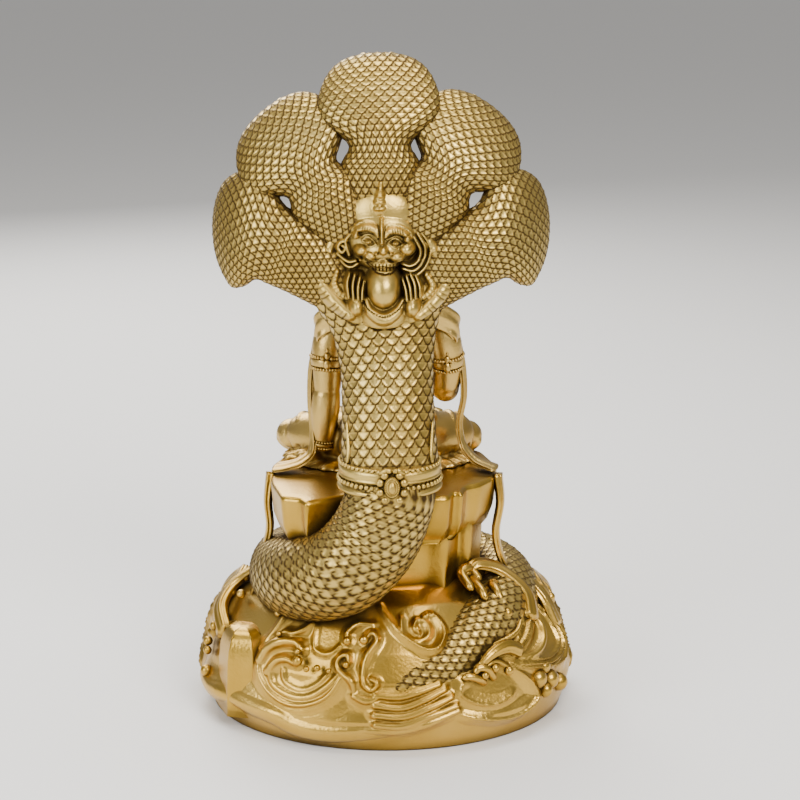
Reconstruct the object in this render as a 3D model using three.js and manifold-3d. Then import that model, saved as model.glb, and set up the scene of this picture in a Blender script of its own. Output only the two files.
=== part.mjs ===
// A cast brass Nagarjuna: a bodhisattva seated at ease on a rock that rises out of waves, with a
// five-headed naga wound round the rock and spread above the figure as a canopy. Millimetres, +Z up,
// the figure faces -Y, and the origin is the middle of the underside. The naga's back, with its belt
// and its lion mask, is on the +Y side. Three castings: the plinth with the lower coil, the figure,
// and the hood, which stands on the cut end of the coil, under the belt.
import * as THREE from "three";
import { mergeVertices } from "three/addons/utils/BufferGeometryUtils.js";
import Module from "manifold-3d";

const wasm = await Module();
wasm.setup();

// Driving sizes.
const HEIGHT = 250;
const BASE = { halfWidth: 72, halfDepth: 59, foot: 12, top: 53 };
const SEAT_TOP = 91;
const SEAT_THICK = 20;
const JOINT = 0.3; // gap left between two castings
const COIL_END = 96; // height at which the coil is cut off, under the belt
const FAN = { x: 2, z: 175 }; // where the five necks start to part
const MASK = { x: 1.5, y: 28, z: 181 };
const SCALE_LIFT = 0.7; // how far a scale's tip stands out

// The mound's profile: its half width, as a share of the base's, at each height.
const MOUND = [
  [0, 0.955], [BASE.foot, 1], [27, 0.945], [36, 0.87], [43, 0.77], [49, 0.65], [BASE.top, 0.5],
];

const FAR = 400; // more than the statue's own size, for cutting
const TURN = Math.PI * 2;
const radians = THREE.MathUtils.degToRad;
const vector = (p) => new THREE.Vector3(...p);

// Solids.

// A three.js geometry as a solid that can be joined and cut, its faces outwards.
function solid(geometry) {
  const bare = geometry.clone();
  for (const name of ["normal", "uv"]) bare.deleteAttribute(name);
  const merged = mergeVertices(bare, 1e-4);
  const corners = merged.attributes.position;
  const faces = merged.index.array;
  const [a, b, c] = [new THREE.Vector3(), new THREE.Vector3(), new THREE.Vector3()];
  let volume = 0;
  for (let i = 0; i < faces.length; i += 3) {
    [a, b, c].forEach((corner, k) => corner.fromBufferAttribute(corners, faces[i + k]));
    volume += a.dot(b.cross(c));
  }
  if (volume < 0) faces.reverse();
  const mesh = { numProp: 3, vertProperties: corners.array, triVerts: new Uint32Array(faces) };
  return new wasm.Manifold(new wasm.Mesh(mesh));
}

const join = (parts) => parts.reduce((whole, part) => whole.add(part));

// Everything between two heights, for cutting.
function layer(low, high) {
  return solid(new THREE.BoxGeometry(FAR, FAR, high - low).translate(0, 0, (low + high) / 2));
}

// The value at t, from 0 to 1, of a smooth curve through a list of numbers.
function valueAt(list, t) {
  const along = t * (list.length - 1);
  const k = Math.min(Math.floor(along), list.length - 2);
  const u = along - k;
  const [b, c] = [list[k], list[k + 1]];
  const a = list[k - 1] ?? 2 * b - c;
  const d = list[k + 2] ?? 2 * c - b;
  const bend = (2 * a - 5 * b + 4 * c - d) * u * u + (3 * b - a - 3 * c + d) * u ** 3;
  return Math.max(0.2, b + 0.5 * ((c - a) * u + bend));
}

// A tube's faces cut along alternate diagonals, so that they make a lattice of lozenges.
function lozenges(tube, sides, steps) {
  const faces = tube.index.array;
  for (let k = 0; k < sides * steps; k++) {
    const column = Math.floor(k / steps);
    if ((column + k - column * steps) % 2) continue;
    const [a, b, d, , c] = faces.slice(6 * k, 6 * k + 6);
    faces.set([a, b, c, a, c, d], 6 * k);
  }
}

// A closed tube of elliptical section through the points of path. wide and thick are half sizes, one
// for each point, and across is the way that the width runs. lift raises the middle of each lozenge.
function sweep({ path, wide, thick = wide, across = [1, 0, 0], sides = 8, steps = 8, lift = 0 }) {
  const curve = new THREE.CatmullRomCurve3(path.map(vector), false, "catmullrom", 0.5);
  const tube = new THREE.CylinderGeometry(1, 1, 1, sides, steps);
  if (lift) lozenges(tube, sides, steps);
  const corners = tube.attributes.position;
  const corner = new THREE.Vector3();
  for (let i = 0; i < corners.count; i++) {
    corner.fromBufferAttribute(corners, i);
    const t = THREE.MathUtils.clamp(0.5 - corner.y, 0, 1);
    const at = curve.getPoint(t);
    const along = curve.getTangent(t);
    const way = vector(typeof across === "function" ? across(at, along) : across);
    const side = way.addScaledVector(along, -way.dot(along)).normalize();
    const out = new THREE.Vector3().crossVectors(along, side);
    const ring = Math.round(t * steps);
    const spoke = Math.round((Math.atan2(corner.x, corner.z) / TURN + 1) * sides);
    const raised = lift * ((ring + spoke) % 2);
    at.addScaledVector(side, corner.x * (valueAt(wide, t) + raised));
    at.addScaledVector(out, corner.z * (valueAt(thick, t) + raised));
    corners.setXYZ(i, at.x, at.y, at.z);
  }
  return solid(tube);
}

// An ellipsoid with its three half sizes.
function ball(at, half, sides = 8) {
  const size = typeof half === "number" ? [half, half, half] : half;
  const round = new THREE.SphereGeometry(1, sides, Math.round(sides * 0.6)).rotateX(Math.PI / 2);
  return solid(round.scale(...size).translate(...at));
}

// An upright prism on an outline of [x, y] points, its lower and upper edges chamfered.
function prism(outline, low, high, chamfer) {
  const shape = new THREE.Shape(outline.map(([x, y]) => new THREE.Vector2(x, y)));
  const bevel = { bevelThickness: chamfer, bevelSize: chamfer, bevelOffset: -chamfer, bevelSegments: 1 };
  const depth = high - low - 2 * chamfer;
  const block = new THREE.ExtrudeGeometry(shape, { depth, bevelEnabled: true, ...bevel });
  return solid(block.translate(0, 0, low + chamfer));
}

// A solid of revolution on a [radius, height] profile, about +Z.
function turned(profile, sides) {
  const points = profile.map(([r, z]) => new THREE.Vector2(r, z));
  return new THREE.LatheGeometry(points, sides).rotateX(Math.PI / 2);
}

// The plinth.

// The mound's half width at a height, as a share of the base's.
function moundShare(height) {
  const k = Math.max(1, MOUND.findIndex(([z]) => z >= height));
  const [[z0, r0], [z1, r1]] = [MOUND[k - 1], MOUND[k]];
  return THREE.MathUtils.mapLinear(height, z0, z1, r0, r1);
}

// The point of the mound at an angle in degrees, 0 at +X and 90 at +Y, and a height, moved out from
// the mound's middle by out.
function onMound([angle, height, out = 0]) {
  const share = moundShare(Math.min(height, BASE.top));
  const x = BASE.halfWidth * share * Math.cos(radians(angle));
  const y = BASE.halfDepth * share * Math.sin(radians(angle));
  const away = new THREE.Vector3(x, y, height - BASE.foot).setLength(out);
  return [x + away.x, y + away.y, height + away.z];
}

function mound() {
  const profile = [[0, 0], ...MOUND.map(([z, r]) => [r, z]), [0, BASE.top]];
  return solid(turned(profile, 28).scale(BASE.halfWidth, BASE.halfDepth, 1));
}

// The rock that the figure sits on: a slab with split faces on a narrower shaft.
function rockSeat() {
  const slab = [
    [16, 31], [30, 40], [32, 35], [39, 33], [44, 14], [45, -8], [39, -26], [27, -37], [9, -42],
    [-10, -42], [-27, -37], [-38, -26], [-43, -8], [-41, 8], [-35, 17], [-30, 20], [-28, 29], [-25, 27],
    [-23, 33], [-14, 34],
  ];
  const shaft = [
    [14, 28], [30, 26], [37, 8], [37, -16], [26, -31], [0, -36], [-24, -31], [-36, -14], [-36, 6], [-31, 17],
    [-27, 15], [-22, 25], [-15, 22],
  ];
  return prism(slab, SEAT_TOP - SEAT_THICK, SEAT_TOP, 1.6).add(prism(shaft, 30, SEAT_TOP - 4, 1));
}

// The naga below the belt: down behind the seat, once round its foot, and under the water again.
function coil() {
  const path = [
    [-1, 38, 104], [-1, 39.5, 92], [5, 42, 78], [16, 42, 66], [29, 32, 59], [37, 15, 54], [39, -6, 51],
    [34, -25, 48], [18, -37, 46], [-4, -40, 45], [-26, -35, 44], [-42, -19, 43], [-46, 3, 42], [-41, 21, 39],
    [-31, 33, 34], [-18, 42, 27], [-4, 46, 21], [9, 45, 13],
  ];
  const wide = [16.5, 16.5, 17, 17, 16.5, 15.5, 14, 13, 12, 12, 12.5, 13, 13.5, 13.5, 13, 12.5, 12, 10];
  const across = (at) => [at.x, at.y, 0];
  const body = sweep({ path, wide, across, sides: 8, steps: 27, lift: SCALE_LIFT });
  return body.subtract(layer(COIL_END, FAR)).subtract(layer(-FAR, 1));
}

// An arm of water through points of the mound, thinning towards its end, where it holds a drop.
function crest({ way, wide, thick = 0.6, drop = 0.5, steps = 4 }) {
  const path = way.map(onMound);
  const widths = way.map((_, k) => wide * (1 - 0.6 * (k / (way.length - 1)) ** 1.5));
  const thicks = widths.map((w) => w * thick);
  const across = (at, along) => new THREE.Vector3(at.x, at.y, at.z - BASE.foot).cross(along).toArray();
  const arm = sweep({ path, wide: widths, thick: thicks, across, sides: 5, steps });
  return drop ? arm.add(ball(path.at(-1), wide * drop, 5)) : arm;
}

// A whirl in the water: an arm wound inwards by turns of a full circle, from an angle in degrees.
function whirl({ angle, height, radius, from, turns }) {
  const steps = 5;
  const way = Array.from({ length: steps + 1 }, (_, k) => {
    const phase = radians(from + (360 * turns * k) / steps);
    const reach = radius * (1 - 0.75 * (k / steps));
    const sideways = (reach * Math.cos(phase)) / (BASE.halfDepth * moundShare(height));
    return [angle + THREE.MathUtils.radToDeg(sideways), height + 0.72 * reach * Math.sin(phase), 2];
  });
  return crest({ way, wide: 0.34 * radius, steps: 7 });
}

// The crests: points of the mound as angle, height and how far out, and the half width at the root.
const CRESTS = [
  // The tall wave at the back, right of the seat, the one that breaks below it, and their neighbour.
  { way: [[133, 22, 0], [143, 27, 4], [151, 36, 6], [162, 46, 6], [160, 52, 6], [140, 53, 6]], wide: 8 },
  { way: [[156, 16, 2], [148, 21, 5], [137, 27, 5], [126, 31, 5], [117, 27, 4]], wide: 6 },
  { way: [[166, 22, 0], [168, 32, 4], [172, 42, 4], [180, 47, 4], [186, 43, 4]], wide: 6 },
  // The rim below them, the comb of water beside it, and the swell beside the whirl.
  { way: [[107, 17, 0], [117, 12, 1], [129, 10, 1.5], [139, 13, 1.5], [137, 21, 1]], wide: 2.4, drop: 0 },
  { way: [[87, 16, 0.5], [96, 19, 2], [104, 21, 2], [111, 20, 1]], wide: 8, thick: 0.35, drop: 0 },
  { way: [[80, 8, -1], [82, 17, 1], [82, 25, 0], [84, 33, -1]], wide: 6, drop: 0 },
  // The leaf-shaped curl under the coil, the small crest beside the whirl, and the one over it.
  { way: [[88, 46, 0], [94, 41, 2], [103, 37, 3], [110, 40, 3], [108, 45, 3], [101, 45, 1]], wide: 2.6 },
  { way: [[86, 28, 0], [85, 36, 2], [81, 43, 2.5], [76, 42, 2.5], [76, 38, 2]], wide: 3 },
  { way: [[42, 22, 0], [45, 33, 2], [51, 40, 3], [58, 40, 3], [61, 36, 3]], wide: 4.4 },
  // Left of the boulder, and round the side and the front.
  { way: [[20, 30, 0], [8, 36, 4], [-2, 43, 4], [-6, 49, 4], [2, 50, 4]], wide: 6 },
  { way: [[-2, 14, 0], [-12, 22, 4], [-20, 32, 4], [-18, 40, 4], [-10, 40, 4]], wide: 7 },
  { way: [[-36, 12, 0], [-46, 22, 3], [-52, 33, 3], [-46, 41, 3], [-39, 39, 3]], wide: 8 },
  { way: [[-100, 10, 0], [-90, 19, 1], [-84, 28, 2], [-90, 35, 3], [-97, 32, 3]], wide: 8, thick: 0.5 },
  { way: [[-152, 12, 0], [-140, 22, 3], [-133, 33, 3], [-139, 41, 3], [-147, 38, 3]], wide: 8 },
  { way: [[-178, 14, 0], [-170, 24, 4], [-164, 34, 4], [-169, 41, 4], [-177, 39, 4]], wide: 7 },
];

// The large whirl at the back, and the ones at the front and the sides.
const WHIRLS = [
  { angle: 62, height: 27, radius: 13, from: 40, turns: -1.2 },
  { angle: -66, height: 22, radius: 10, from: 150, turns: 1.2 },
  { angle: -116, height: 22, radius: 10, from: 30, turns: -1.2 },
];

// Drops and knuckles of foam: angle, height, how far out, and radius.
const FOAM = [
  [130, 49, 3, 3], [140, 50, 4, 3], [122, 31, 3, 3], [141, 18, 1, 4.4], [151, 16, 1, 4],
  [12, 34, 2, 3], [15, 27, 2, 3], [18, 20, 2, 3.2],
];

// The low boulder left of the whirl.
function boulder() {
  return prism([[44, 21], [61, 15], [65, 26], [60, 37], [50, 39], [44, 34]], 6, 42, 3.6);
}

// The end of the scarf below the seat's rim, down on to the water. side is 1 at +X and -1 at -X.
function hangingScarf(side) {
  const left = [[44.6, 1, 90.5], [45.6, 4, 80], [45, 6, 70], [47.5, 7, 60], [50, 7, 50], [52, 7, 42]];
  const right = [[-42.4, 3, 90.5], [-43.6, 5, 80], [-42, 6, 68], [-44, 6, 58], [-48, 6, 50], [-52, 6, 42]];
  const strip = {
    path: side > 0 ? left : right,
    wide: [4.2, 3.8, 2.8, 2.4, 2.6, 3],
    thick: [2, 1.6, 1.5, 1.5, 1.6, 1.8],
    across: [0, 1, 0],
    sides: 6,
  };
  return sweep(strip).subtract(layer(SEAT_TOP, FAR));
}

function plinth() {
  const drops = FOAM.map(([angle, height, out, radius]) => ball(onMound([angle, height, out]), radius, 5));
  const water = [...CRESTS.map(crest), ...WHIRLS.map(whirl), ...drops];
  const parts = [mound(), rockSeat(), coil(), boulder(), hangingScarf(1), hangingScarf(-1), ...water];
  return join(parts).subtract(layer(-FAR, 0));
}

// The figure.

// An arm from shoulder to wrist, with its jewelled band.
function arm(path, wide) {
  const limb = sweep({ path, wide, sides: 6, steps: 4 });
  const band = [0, 1, 2].map((k) => path[0][k] * 0.48 + path[1][k] * 0.52);
  const ring = [-1.6, 0, 1.6].map((z) => [band[0], band[1], band[2] + z]);
  return limb.add(sweep({ path: ring, wide: [6, 7, 6], sides: 6, steps: 2 }));
}

// A hand: the back of it and four fingers side by side, with the thumb at the edge.
function hand({ wrist, palm, tips, spread, thumb }) {
  const fingers = [-1.5, -0.5, 0.5, 1.5].map((place) => {
    const beside = (p, amount) => p.map((value, i) => value + spread[i] * place * amount);
    return sweep({ path: [beside(palm, 1.6), beside(tips, 2)], wide: [1.5, 0.9], sides: 4, steps: 1 });
  });
  const back = sweep({ path: [wrist, palm, tips.map((v, i) => palm[i] * 0.7 + v * 0.3)],
    wide: [3.2, 4, 3.4], thick: [2.8, 2.2, 1.6], across: spread, sides: 5, steps: 2 });
  const pad = sweep({ path: [wrist, thumb], wide: [1.8, 1.1], sides: 4, steps: 1 });
  return join([back, pad, ...fingers]);
}

function torso() {
  const heights = [94, 103, 117, 131, 143, 150, 157, 164];
  const middles = [-5, -5, -6, -7, -7, -6, -7, -9];
  return sweep({
    path: heights.map((z, k) => [0, middles[k], z]),
    wide: [21, 20, 14, 16.5, 20, 17, 6.5, 5.5],
    thick: [16, 14.5, 10.5, 11.5, 11.5, 9, 6, 5.5],
    sides: 8, steps: 8,
  });
}

// The head, with its hair drawn up into a topknot, a diadem and long ears.
function head() {
  const upright = (heights, y, wide, thick, sides) => sweep({
    path: heights.map((z) => [0, y, z]), wide, thick, sides, steps: heights.length - 1,
  });
  const skull = ball([0, -11, 173], [9.3, 10.6, 12.6], 8);
  const jaw = ball([0, -15.5, 165.5], [6.4, 5.8, 6.2], 6);
  const nose = sweep({
    path: [[0, -20.6, 175], [0, -22, 169], [0, -19.6, 168]], wide: [0.9, 1.9, 1.4], sides: 4, steps: 2,
  });
  const topknot = upright([184, 190, 196, 203], -9, [5, 6.2, 4.6, 1], [5, 6.2, 4.6, 1], 6);
  const ears = [9.6, -9.6].map((x) => ball([x, -10.5, 168.5], [1.5, 2.6, 6], 4));
  const diadem = upright([178.4, 183], -10, [10.8, 10.8], [11.8, 11.8], 8);
  const plates = [-54, 0, 54].map((angle) => {
    const at = [11 * Math.sin(radians(angle)), -10 - 11.6 * Math.cos(radians(angle)), 183];
    return ball(at, [2.4, 2, angle ? 4 : 5.4], 4);
  });
  return join([skull, jaw, nose, topknot, diadem, ...ears, ...plates]);
}

// The crossed legs under the robe, with its hem and the folds behind the hips.
function legs() {
  const limb = { across: [0, 0, 1], sides: 6, steps: 4 };
  const thigh = (hip, knee) => sweep({
    path: [[hip, -4, 100], [2.5 * hip, -14, 99.5], [knee * 0.82, -22, 98], [knee * 0.94, -26, 97]],
    wide: [10.5, 9, 7, 4.6], thick: [10.5, 10, 8.5, 4.6], ...limb,
  });
  const shin = (path) => sweep({ path, wide: [5.6, 6.4, 5.6, 3.4], ...limb });
  const upper = shin([[36, -27, 96.5], [23, -34, 98.5], [7, -37, 99.5], [-9, -34, 101.5]]);
  const lower = shin([[-30, -27, 96], [-18, -35, 96], [-2, -39, 95], [13, -37, 94]]);
  const hem = ball([3, -18, SEAT_TOP], [39, 24, 5], 10);
  const folds = [-15, -8, 0, 8, 15].map((x) => sweep({
    path: [[x * 0.9, 8 - Math.abs(x) * 0.2, 108], [x * 1.25, 12.5 - Math.abs(x) * 0.2, 91]],
    wide: [1.6, 3], sides: 4, steps: 1,
  }));
  return join([thigh(8, 40), thigh(-8, -34), upper, lower, hem, ...folds]);
}

// The shawl over the shoulders and the scarf's two ends, which lie across the seat to its rim.
function scarf() {
  const strip = (path, wide, thick, across) => sweep({ path, wide, thick, across, sides: 4, steps: 7 });
  const right = strip(
    [[-28, -7, 134], [-29.5, -7, 122], [-27.5, -6, 110], [-29, -5, 100], [-34, -1, 94], [-41, 3, 92.6]],
    [1.6, 1.8, 2.2, 3, 4, 3.8], [1.4, 1.4, 1.5, 1.7, 1.6, 1.6], [0, 1, 0],
  );
  const left = strip(
    [[19, 2, 98], [25, 4, 98], [31, 2, 96], [37, 1, 94], [43, 1, 92.4]],
    [3, 4.2, 5, 5.4, 4.2], [2.6, 2.6, 2.2, 1.8, 1.5], [0, 1, 0.5],
  );
  const shawl = strip(
    [[26, -5, 139], [20, 0, 150], [0, 4.5, 152], [-20, 0, 150], [-26, -5, 139]],
    [5, 6, 5, 6, 5], [3, 4.4, 3, 4.4, 3], [0, 0.4, 1],
  );
  return join([right, left, shawl]);
}

function figure() {
  const leftArm = arm([[21.5, -6, 146], [23, -4, 122], [25, -3, 97]], [6.6, 5.8, 3.8]);
  const rightWay = [[-21.5, -6, 146], [-22.5, -9, 121], [-18, -20, 121], [-9, -27, 133]];
  const rightArm = arm(rightWay, [6.6, 6, 4.8, 3.2]);
  const leftHand = hand({
    wrist: [25, -3, 97], palm: [30, -8, 94.6], tips: [37, -14, 93], spread: [-0.65, 0.75, 0],
    thumb: [33, -5, 93.6],
  });
  const rightHand = hand({
    wrist: rightWay.at(-1), palm: [-8, -28.5, 139], tips: [-9, -29.5, 149], spread: [0.95, -0.3, 0],
    thumb: [-4, -31, 141],
  });
  const parts = [torso(), head(), legs(), leftArm, rightArm, leftHand, rightHand, scarf()];
  return join(parts).subtract(layer(-FAR, SEAT_TOP + JOINT));
}

// The hood.

// The naga's body from the belt up to where the necks part.
function trunk() {
  return sweep({
    path: [
      [-1, 38, 90], [-1, 37, 104], [-0.5, 33, 120], [0, 27, 138], [1, 22, 153], [FAN.x, 19, 166],
      [FAN.x, 17, 180],
    ],
    wide: [18, 18.4, 17.4, 17.4, 20, 26, 22],
    thick: [15.5, 15, 13.5, 12.5, 12, 11, 8],
    sides: 12, steps: 9, lift: SCALE_LIFT,
  });
}

// One neck: out along the fan, pinched where it parts from its neighbours, then forwards over the
// figure and spread like a cobra's hood. It runs from root towards aim and turns over at tip. heel and
// pinch are its half widths at the root and where it is narrowest.
function neck({ root, aim, tip, heel, pinch }) {
  const line = new THREE.QuadraticBezierCurve(...[root, aim, tip].map((p) => new THREE.Vector2(...p)));
  const place = (t, y) => {
    const at = line.getPoint(Math.max(0, t));
    return [at.x, y, at.y];
  };
  const across = (at) => {
    const t = THREE.MathUtils.clamp(Math.hypot(at.x - root[0], at.z - root[1]) / line.getLength(), 0, 1);
    const along = line.getTangent(t);
    return [-along.y, 0, along.x];
  };
  const arch = sweep({
    path: [place(0, 17), place(0.2, 18.5), place(0.4, 19), place(0.52, 18), place(0.62, 17), place(0.72, 14),
      place(0.84, 8.5), place(0.96, -1), place(0.94, -12)],
    wide: [heel, 0.4 * heel + 8, 14, 14.5, pinch, 20, 22, 17, 7],
    thick: [8, 9, 9, 9, 8, 7.4, 6.6, 6, 5],
    across, sides: 8, steps: 9, lift: SCALE_LIFT,
  });
  const snout = sweep({
    path: [place(0.9, -4), place(0.88, -14), place(0.81, -23), place(0.7, -31)],
    wide: [8, 8.2, 6.2, 2.8], thick: [6.5, 6.2, 4.6, 2.4], across, sides: 5, steps: 3,
  });
  const jaw = sweep({
    path: [place(0.78, -8), place(0.68, -17), place(0.58, -24)],
    wide: [6, 5.4, 2.4], thick: [4, 2.6, 1.4], across, sides: 4, steps: 2,
  });
  const nub = sweep({ path: [place(0.93, 1), place(1, -1.5)], wide: [2.8, 0.8], sides: 4, steps: 1 });
  return join([arch, snout, jaw, nub]);
}

// The five necks: where each leaves the trunk, what it aims at and where it turns over, as [x, z].
const NECKS = [
  { root: [FAN.x, FAN.z], aim: [FAN.x, HEIGHT - 40], tip: [3, HEIGHT - 3.5], heel: 11, pinch: 11.5 },
  ...[1, -1].map((side) => ({
    root: [FAN.x, FAN.z], aim: [FAN.x + side * 20, FAN.z + 25], tip: [FAN.x + side * 39, FAN.z + 50],
    heel: 11, pinch: 11.5,
  })),
  ...[1, -1].map((side) => ({
    root: [FAN.x, FAN.z - 15], aim: [FAN.x + side * 42, FAN.z + 14], tip: [FAN.x + side * 57, FAN.z + 9],
    heel: 14, pinch: 15,
  })),
];

// The lion mask that holds a jewel, over the parting of the necks.
function mask() {
  const { x, y, z } = MASK;
  const put = ([dx, dy, dz]) => [x + dx, y + dy, z + dz];
  const lump = (at, half, sides = 5) => ball(put(at), half, sides);
  const bow = (points, wide, thick, across) => {
    return sweep({ path: points.map(put), wide, thick, across, sides: 4, steps: 3 });
  };
  const middle = [
    lump([0, 1, 2], [13.4, 8, 10.5], 8),
    lump([0, -1, -12], [24, 6, 12], 7),
    lump([0, 7, -4], [8.5, 4, 4.4]),
    lump([0, 10, -0.6], [3.4, 2.2, 2.4]),
    lump([0, 5, -13.5], [7.2, 6.6, 8.8], 6),
    lump([0, 4, -20], [7.8, 5.6, 5.4]),
    bow([[0, 0, 11], [0, 2.5, 15], [0, 2, 23]], [4, 3, 0.8], [3.4, 2.6, 0.8]),
  ];
  const sides = [1, -1].flatMap((side) => {
    const paired = (points) => points.map(([dx, dy, dz]) => [side * dx, dy, dz]);
    const brow = paired([[1, 8, 6], [5, 8, 9], [10, 5, 8], [12.5, 3.4, 4]]);
    const foreleg = paired([[13, 1, 2], [20, -1, -4], [23, -1, -10], [19, 1, -18], [12, 2.4, -22]]);
    const paw = paired([[10, 4.4, -22], [10.4, 6, -16], [8, 6, -9]]);
    return [
      lump([side * 9.4, 5, -1.6], [4, 3.6, 3.4], 4),
      bow(brow, [1.6, 2.2, 2.4, 1.6], [1.4, 1.8, 1.8, 1.2], [0, 0, 1]),
      bow(foreleg, [3.4, 4.6, 4.4, 4, 3.4], [3, 4, 4, 3.6, 3.2], [0, 1, 0]),
      bow(paw, [4, 3.6, 2], [3.6, 2.8, 1.4]),
    ];
  });
  return join([...middle, ...sides]);
}

// The jewelled belt that covers the joint between the hood and the coil.
function belt() {
  const [x, y] = [-1, 37];
  const [wide, deep] = [19.2, 16];
  const hoop = (low, high, proud) => sweep({
    path: [[x, y, low], [x, y, high]],
    wide: [wide + proud, wide + proud], thick: [deep + proud, deep + proud], sides: 12, steps: 1,
  });
  const clasp = ball([x - 0.8, y + deep + 1, 101.5], [6.6, 3.4, 7], 7);
  const cabochon = ball([x - 0.8, y + deep + 3.4, 102.2], [2.4, 2.4, 3.6], 5);
  const studs = [-56, 56].map((angle) => {
    return ball([x + wide * Math.sin(radians(angle)), y + deep * Math.cos(radians(angle)), 101.4], 1.8, 5);
  });
  const hoops = [hoop(COIL_END, 104, 0), hoop(COIL_END, 98.6, 1.2), hoop(103.6, 106.6, 1)];
  return join([...hoops, clasp, cabochon, ...studs]);
}

function hood() {
  return join([trunk(), mask(), belt(), ...NECKS.map(neck)]).subtract(layer(-FAR, COIL_END + JOINT));
}

// A solid as a named mesh in its brass.
function casting(name, made, color, roughness) {
  const raw = made.getMesh();
  const geometry = new THREE.BufferGeometry();
  geometry.setAttribute("position", new THREE.BufferAttribute(raw.vertProperties, raw.numProp));
  geometry.setIndex(new THREE.BufferAttribute(raw.triVerts, 1));
  geometry.computeVertexNormals();
  const brass = new THREE.MeshStandardMaterial({ color, roughness, metalness: 1, flatShading: true });
  const mesh = new THREE.Mesh(geometry, brass);
  mesh.name = name;
  return mesh;
}

const statue = new THREE.Group();
statue.add(casting("wave_plinth", plinth(), 0xb08a32, 0.3));
statue.add(casting("seated_figure", figure(), 0xb0883a, 0.36));
statue.add(casting("naga_hood", hood(), 0xa89450, 0.42));

export default statue;
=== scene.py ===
import math
import bpy
import numpy as np
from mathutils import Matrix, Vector
from mathutils.bvhtree import BVHTree

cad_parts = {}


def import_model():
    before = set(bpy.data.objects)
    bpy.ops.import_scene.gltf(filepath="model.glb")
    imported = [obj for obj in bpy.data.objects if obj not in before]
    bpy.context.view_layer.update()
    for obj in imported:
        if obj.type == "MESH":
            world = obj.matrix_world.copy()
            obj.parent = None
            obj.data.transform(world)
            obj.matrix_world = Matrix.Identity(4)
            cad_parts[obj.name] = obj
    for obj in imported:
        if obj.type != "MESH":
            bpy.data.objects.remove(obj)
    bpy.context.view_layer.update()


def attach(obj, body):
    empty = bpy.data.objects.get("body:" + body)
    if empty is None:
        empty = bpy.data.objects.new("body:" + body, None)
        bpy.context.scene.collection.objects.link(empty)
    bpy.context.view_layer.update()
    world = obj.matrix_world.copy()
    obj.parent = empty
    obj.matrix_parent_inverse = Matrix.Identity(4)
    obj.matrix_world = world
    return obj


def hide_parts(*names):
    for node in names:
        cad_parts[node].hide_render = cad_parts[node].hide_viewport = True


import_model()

# Points and sizes are written in millimetres, +Z up, and become metres when a mesh is made. The figure
# faces -Y and the photograph is taken from +Y.
millimetre = 0.001

# Smooth curve through points: on each stretch the cubic whose slopes are half the way between neighbours.
def smoothThrough(points, t):
    p = np.asarray(points, float)
    p = p[:, None] if p.ndim == 1 else p
    p = np.vstack([2 * p[0] - p[1], p, 2 * p[-1] - p[-2]])
    x = np.clip(np.asarray(t, float), 0, 1) * (len(p) - 3)
    k = np.minimum(x.astype(int), len(p) - 4)
    u = (x - k)[:, None]
    a, b, c, d = p[k], p[k + 1], p[k + 2], p[k + 3]
    return b + 0.5 * ((c - a) * u + (2 * a - 5 * b + 4 * c - d) * u ** 2 + (3 * b - a - 3 * c + d) * u ** 3)


# The places on a curve, from 0 to 1, that stand at even lengths along it.
def evenPlaces(points, count, start=0.0, end=1.0):
    t = np.linspace(0, 1, 1200)
    steps = np.linalg.norm(np.diff(smoothThrough(points, t), axis=0), axis=1)
    length = np.concatenate([[0], np.cumsum(steps)])
    places = np.interp(np.linspace(start, end, count) * length[-1], length, t)
    return places, length[-1] * (end - start)


# A vector divided by its own length.
def unit(v):
    return v / np.maximum(np.linalg.norm(v, axis=-1, keepdims=True), 1e-12)


# Outward way of a grid of points, wrapped in its second index: cross product of its two slopes.
def gridNormals(points):
    around = np.roll(points, -1, axis=1) - np.roll(points, 1, axis=1)
    along = np.gradient(points, axis=0)
    return unit(np.cross(around, along))


# Tube: the point at angle a and place t is the spine's point plus wide*sin(a) to the side and
# thick*cos(a) to the back; the back is square to the spine and to the side.
def tubeGrid(spine, wide, thick, side, angles, places):
    at = smoothThrough(spine, places)
    ahead = unit(smoothThrough(spine, places + 1e-4) - smoothThrough(spine, places - 1e-4))
    way = side(at, ahead) if callable(side) else np.broadcast_to(np.asarray(side, float), at.shape)
    way = unit(way - (way * ahead).sum(1, keepdims=True) * ahead)
    back = np.cross(ahead, way)
    w = np.maximum(smoothThrough(wide, places), 0.05)
    h = np.maximum(smoothThrough(thick, places), 0.05)
    a = angles[None, :, None]
    return at[:, None] + (w * way)[:, None] * np.sin(a) + (h * back)[:, None] * np.cos(a)


# Angles round an ellipse that stand at even lengths along its edge, so that what is set out by them
# keeps its size on a flat body too.
def evenAngles(ratio, shares):
    a = np.linspace(0, 2 * np.pi, 2000)
    steps = np.hypot(ratio * np.diff(np.sin(a)), np.diff(np.cos(a)))
    length = np.concatenate([[0], np.cumsum(steps)])
    return np.interp(np.asarray(shares) * length[-1], length, a)


# A closed shell from a grid wrapped in its second index: quads between the rings and a fan of
# triangles at each end, round the end ring's middle.
def shell(points, **marks):
    rows, cols = points.shape[:2]
    k = np.arange(rows * cols).reshape(rows, cols)
    nxt = np.roll(k, -1, axis=1)
    quads = np.stack([k[:-1], nxt[:-1], nxt[1:], k[1:]], -1).reshape(-1, 4)
    first, last = rows * cols, rows * cols + 1
    low = np.stack([nxt[0], k[0], np.full(cols, first)], -1)
    high = np.stack([k[-1], nxt[-1], np.full(cols, last)], -1)
    corners = np.vstack([points.reshape(-1, 3), points[0].mean(0), points[-1].mean(0)])
    data = {name: np.concatenate([v.ravel(), [v[0].mean(), v[-1].mean()]]) for name, v in marks.items()}
    return {"corners": corners, "quads": quads, "tris": np.vstack([low, high]), "marks": data}


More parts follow.
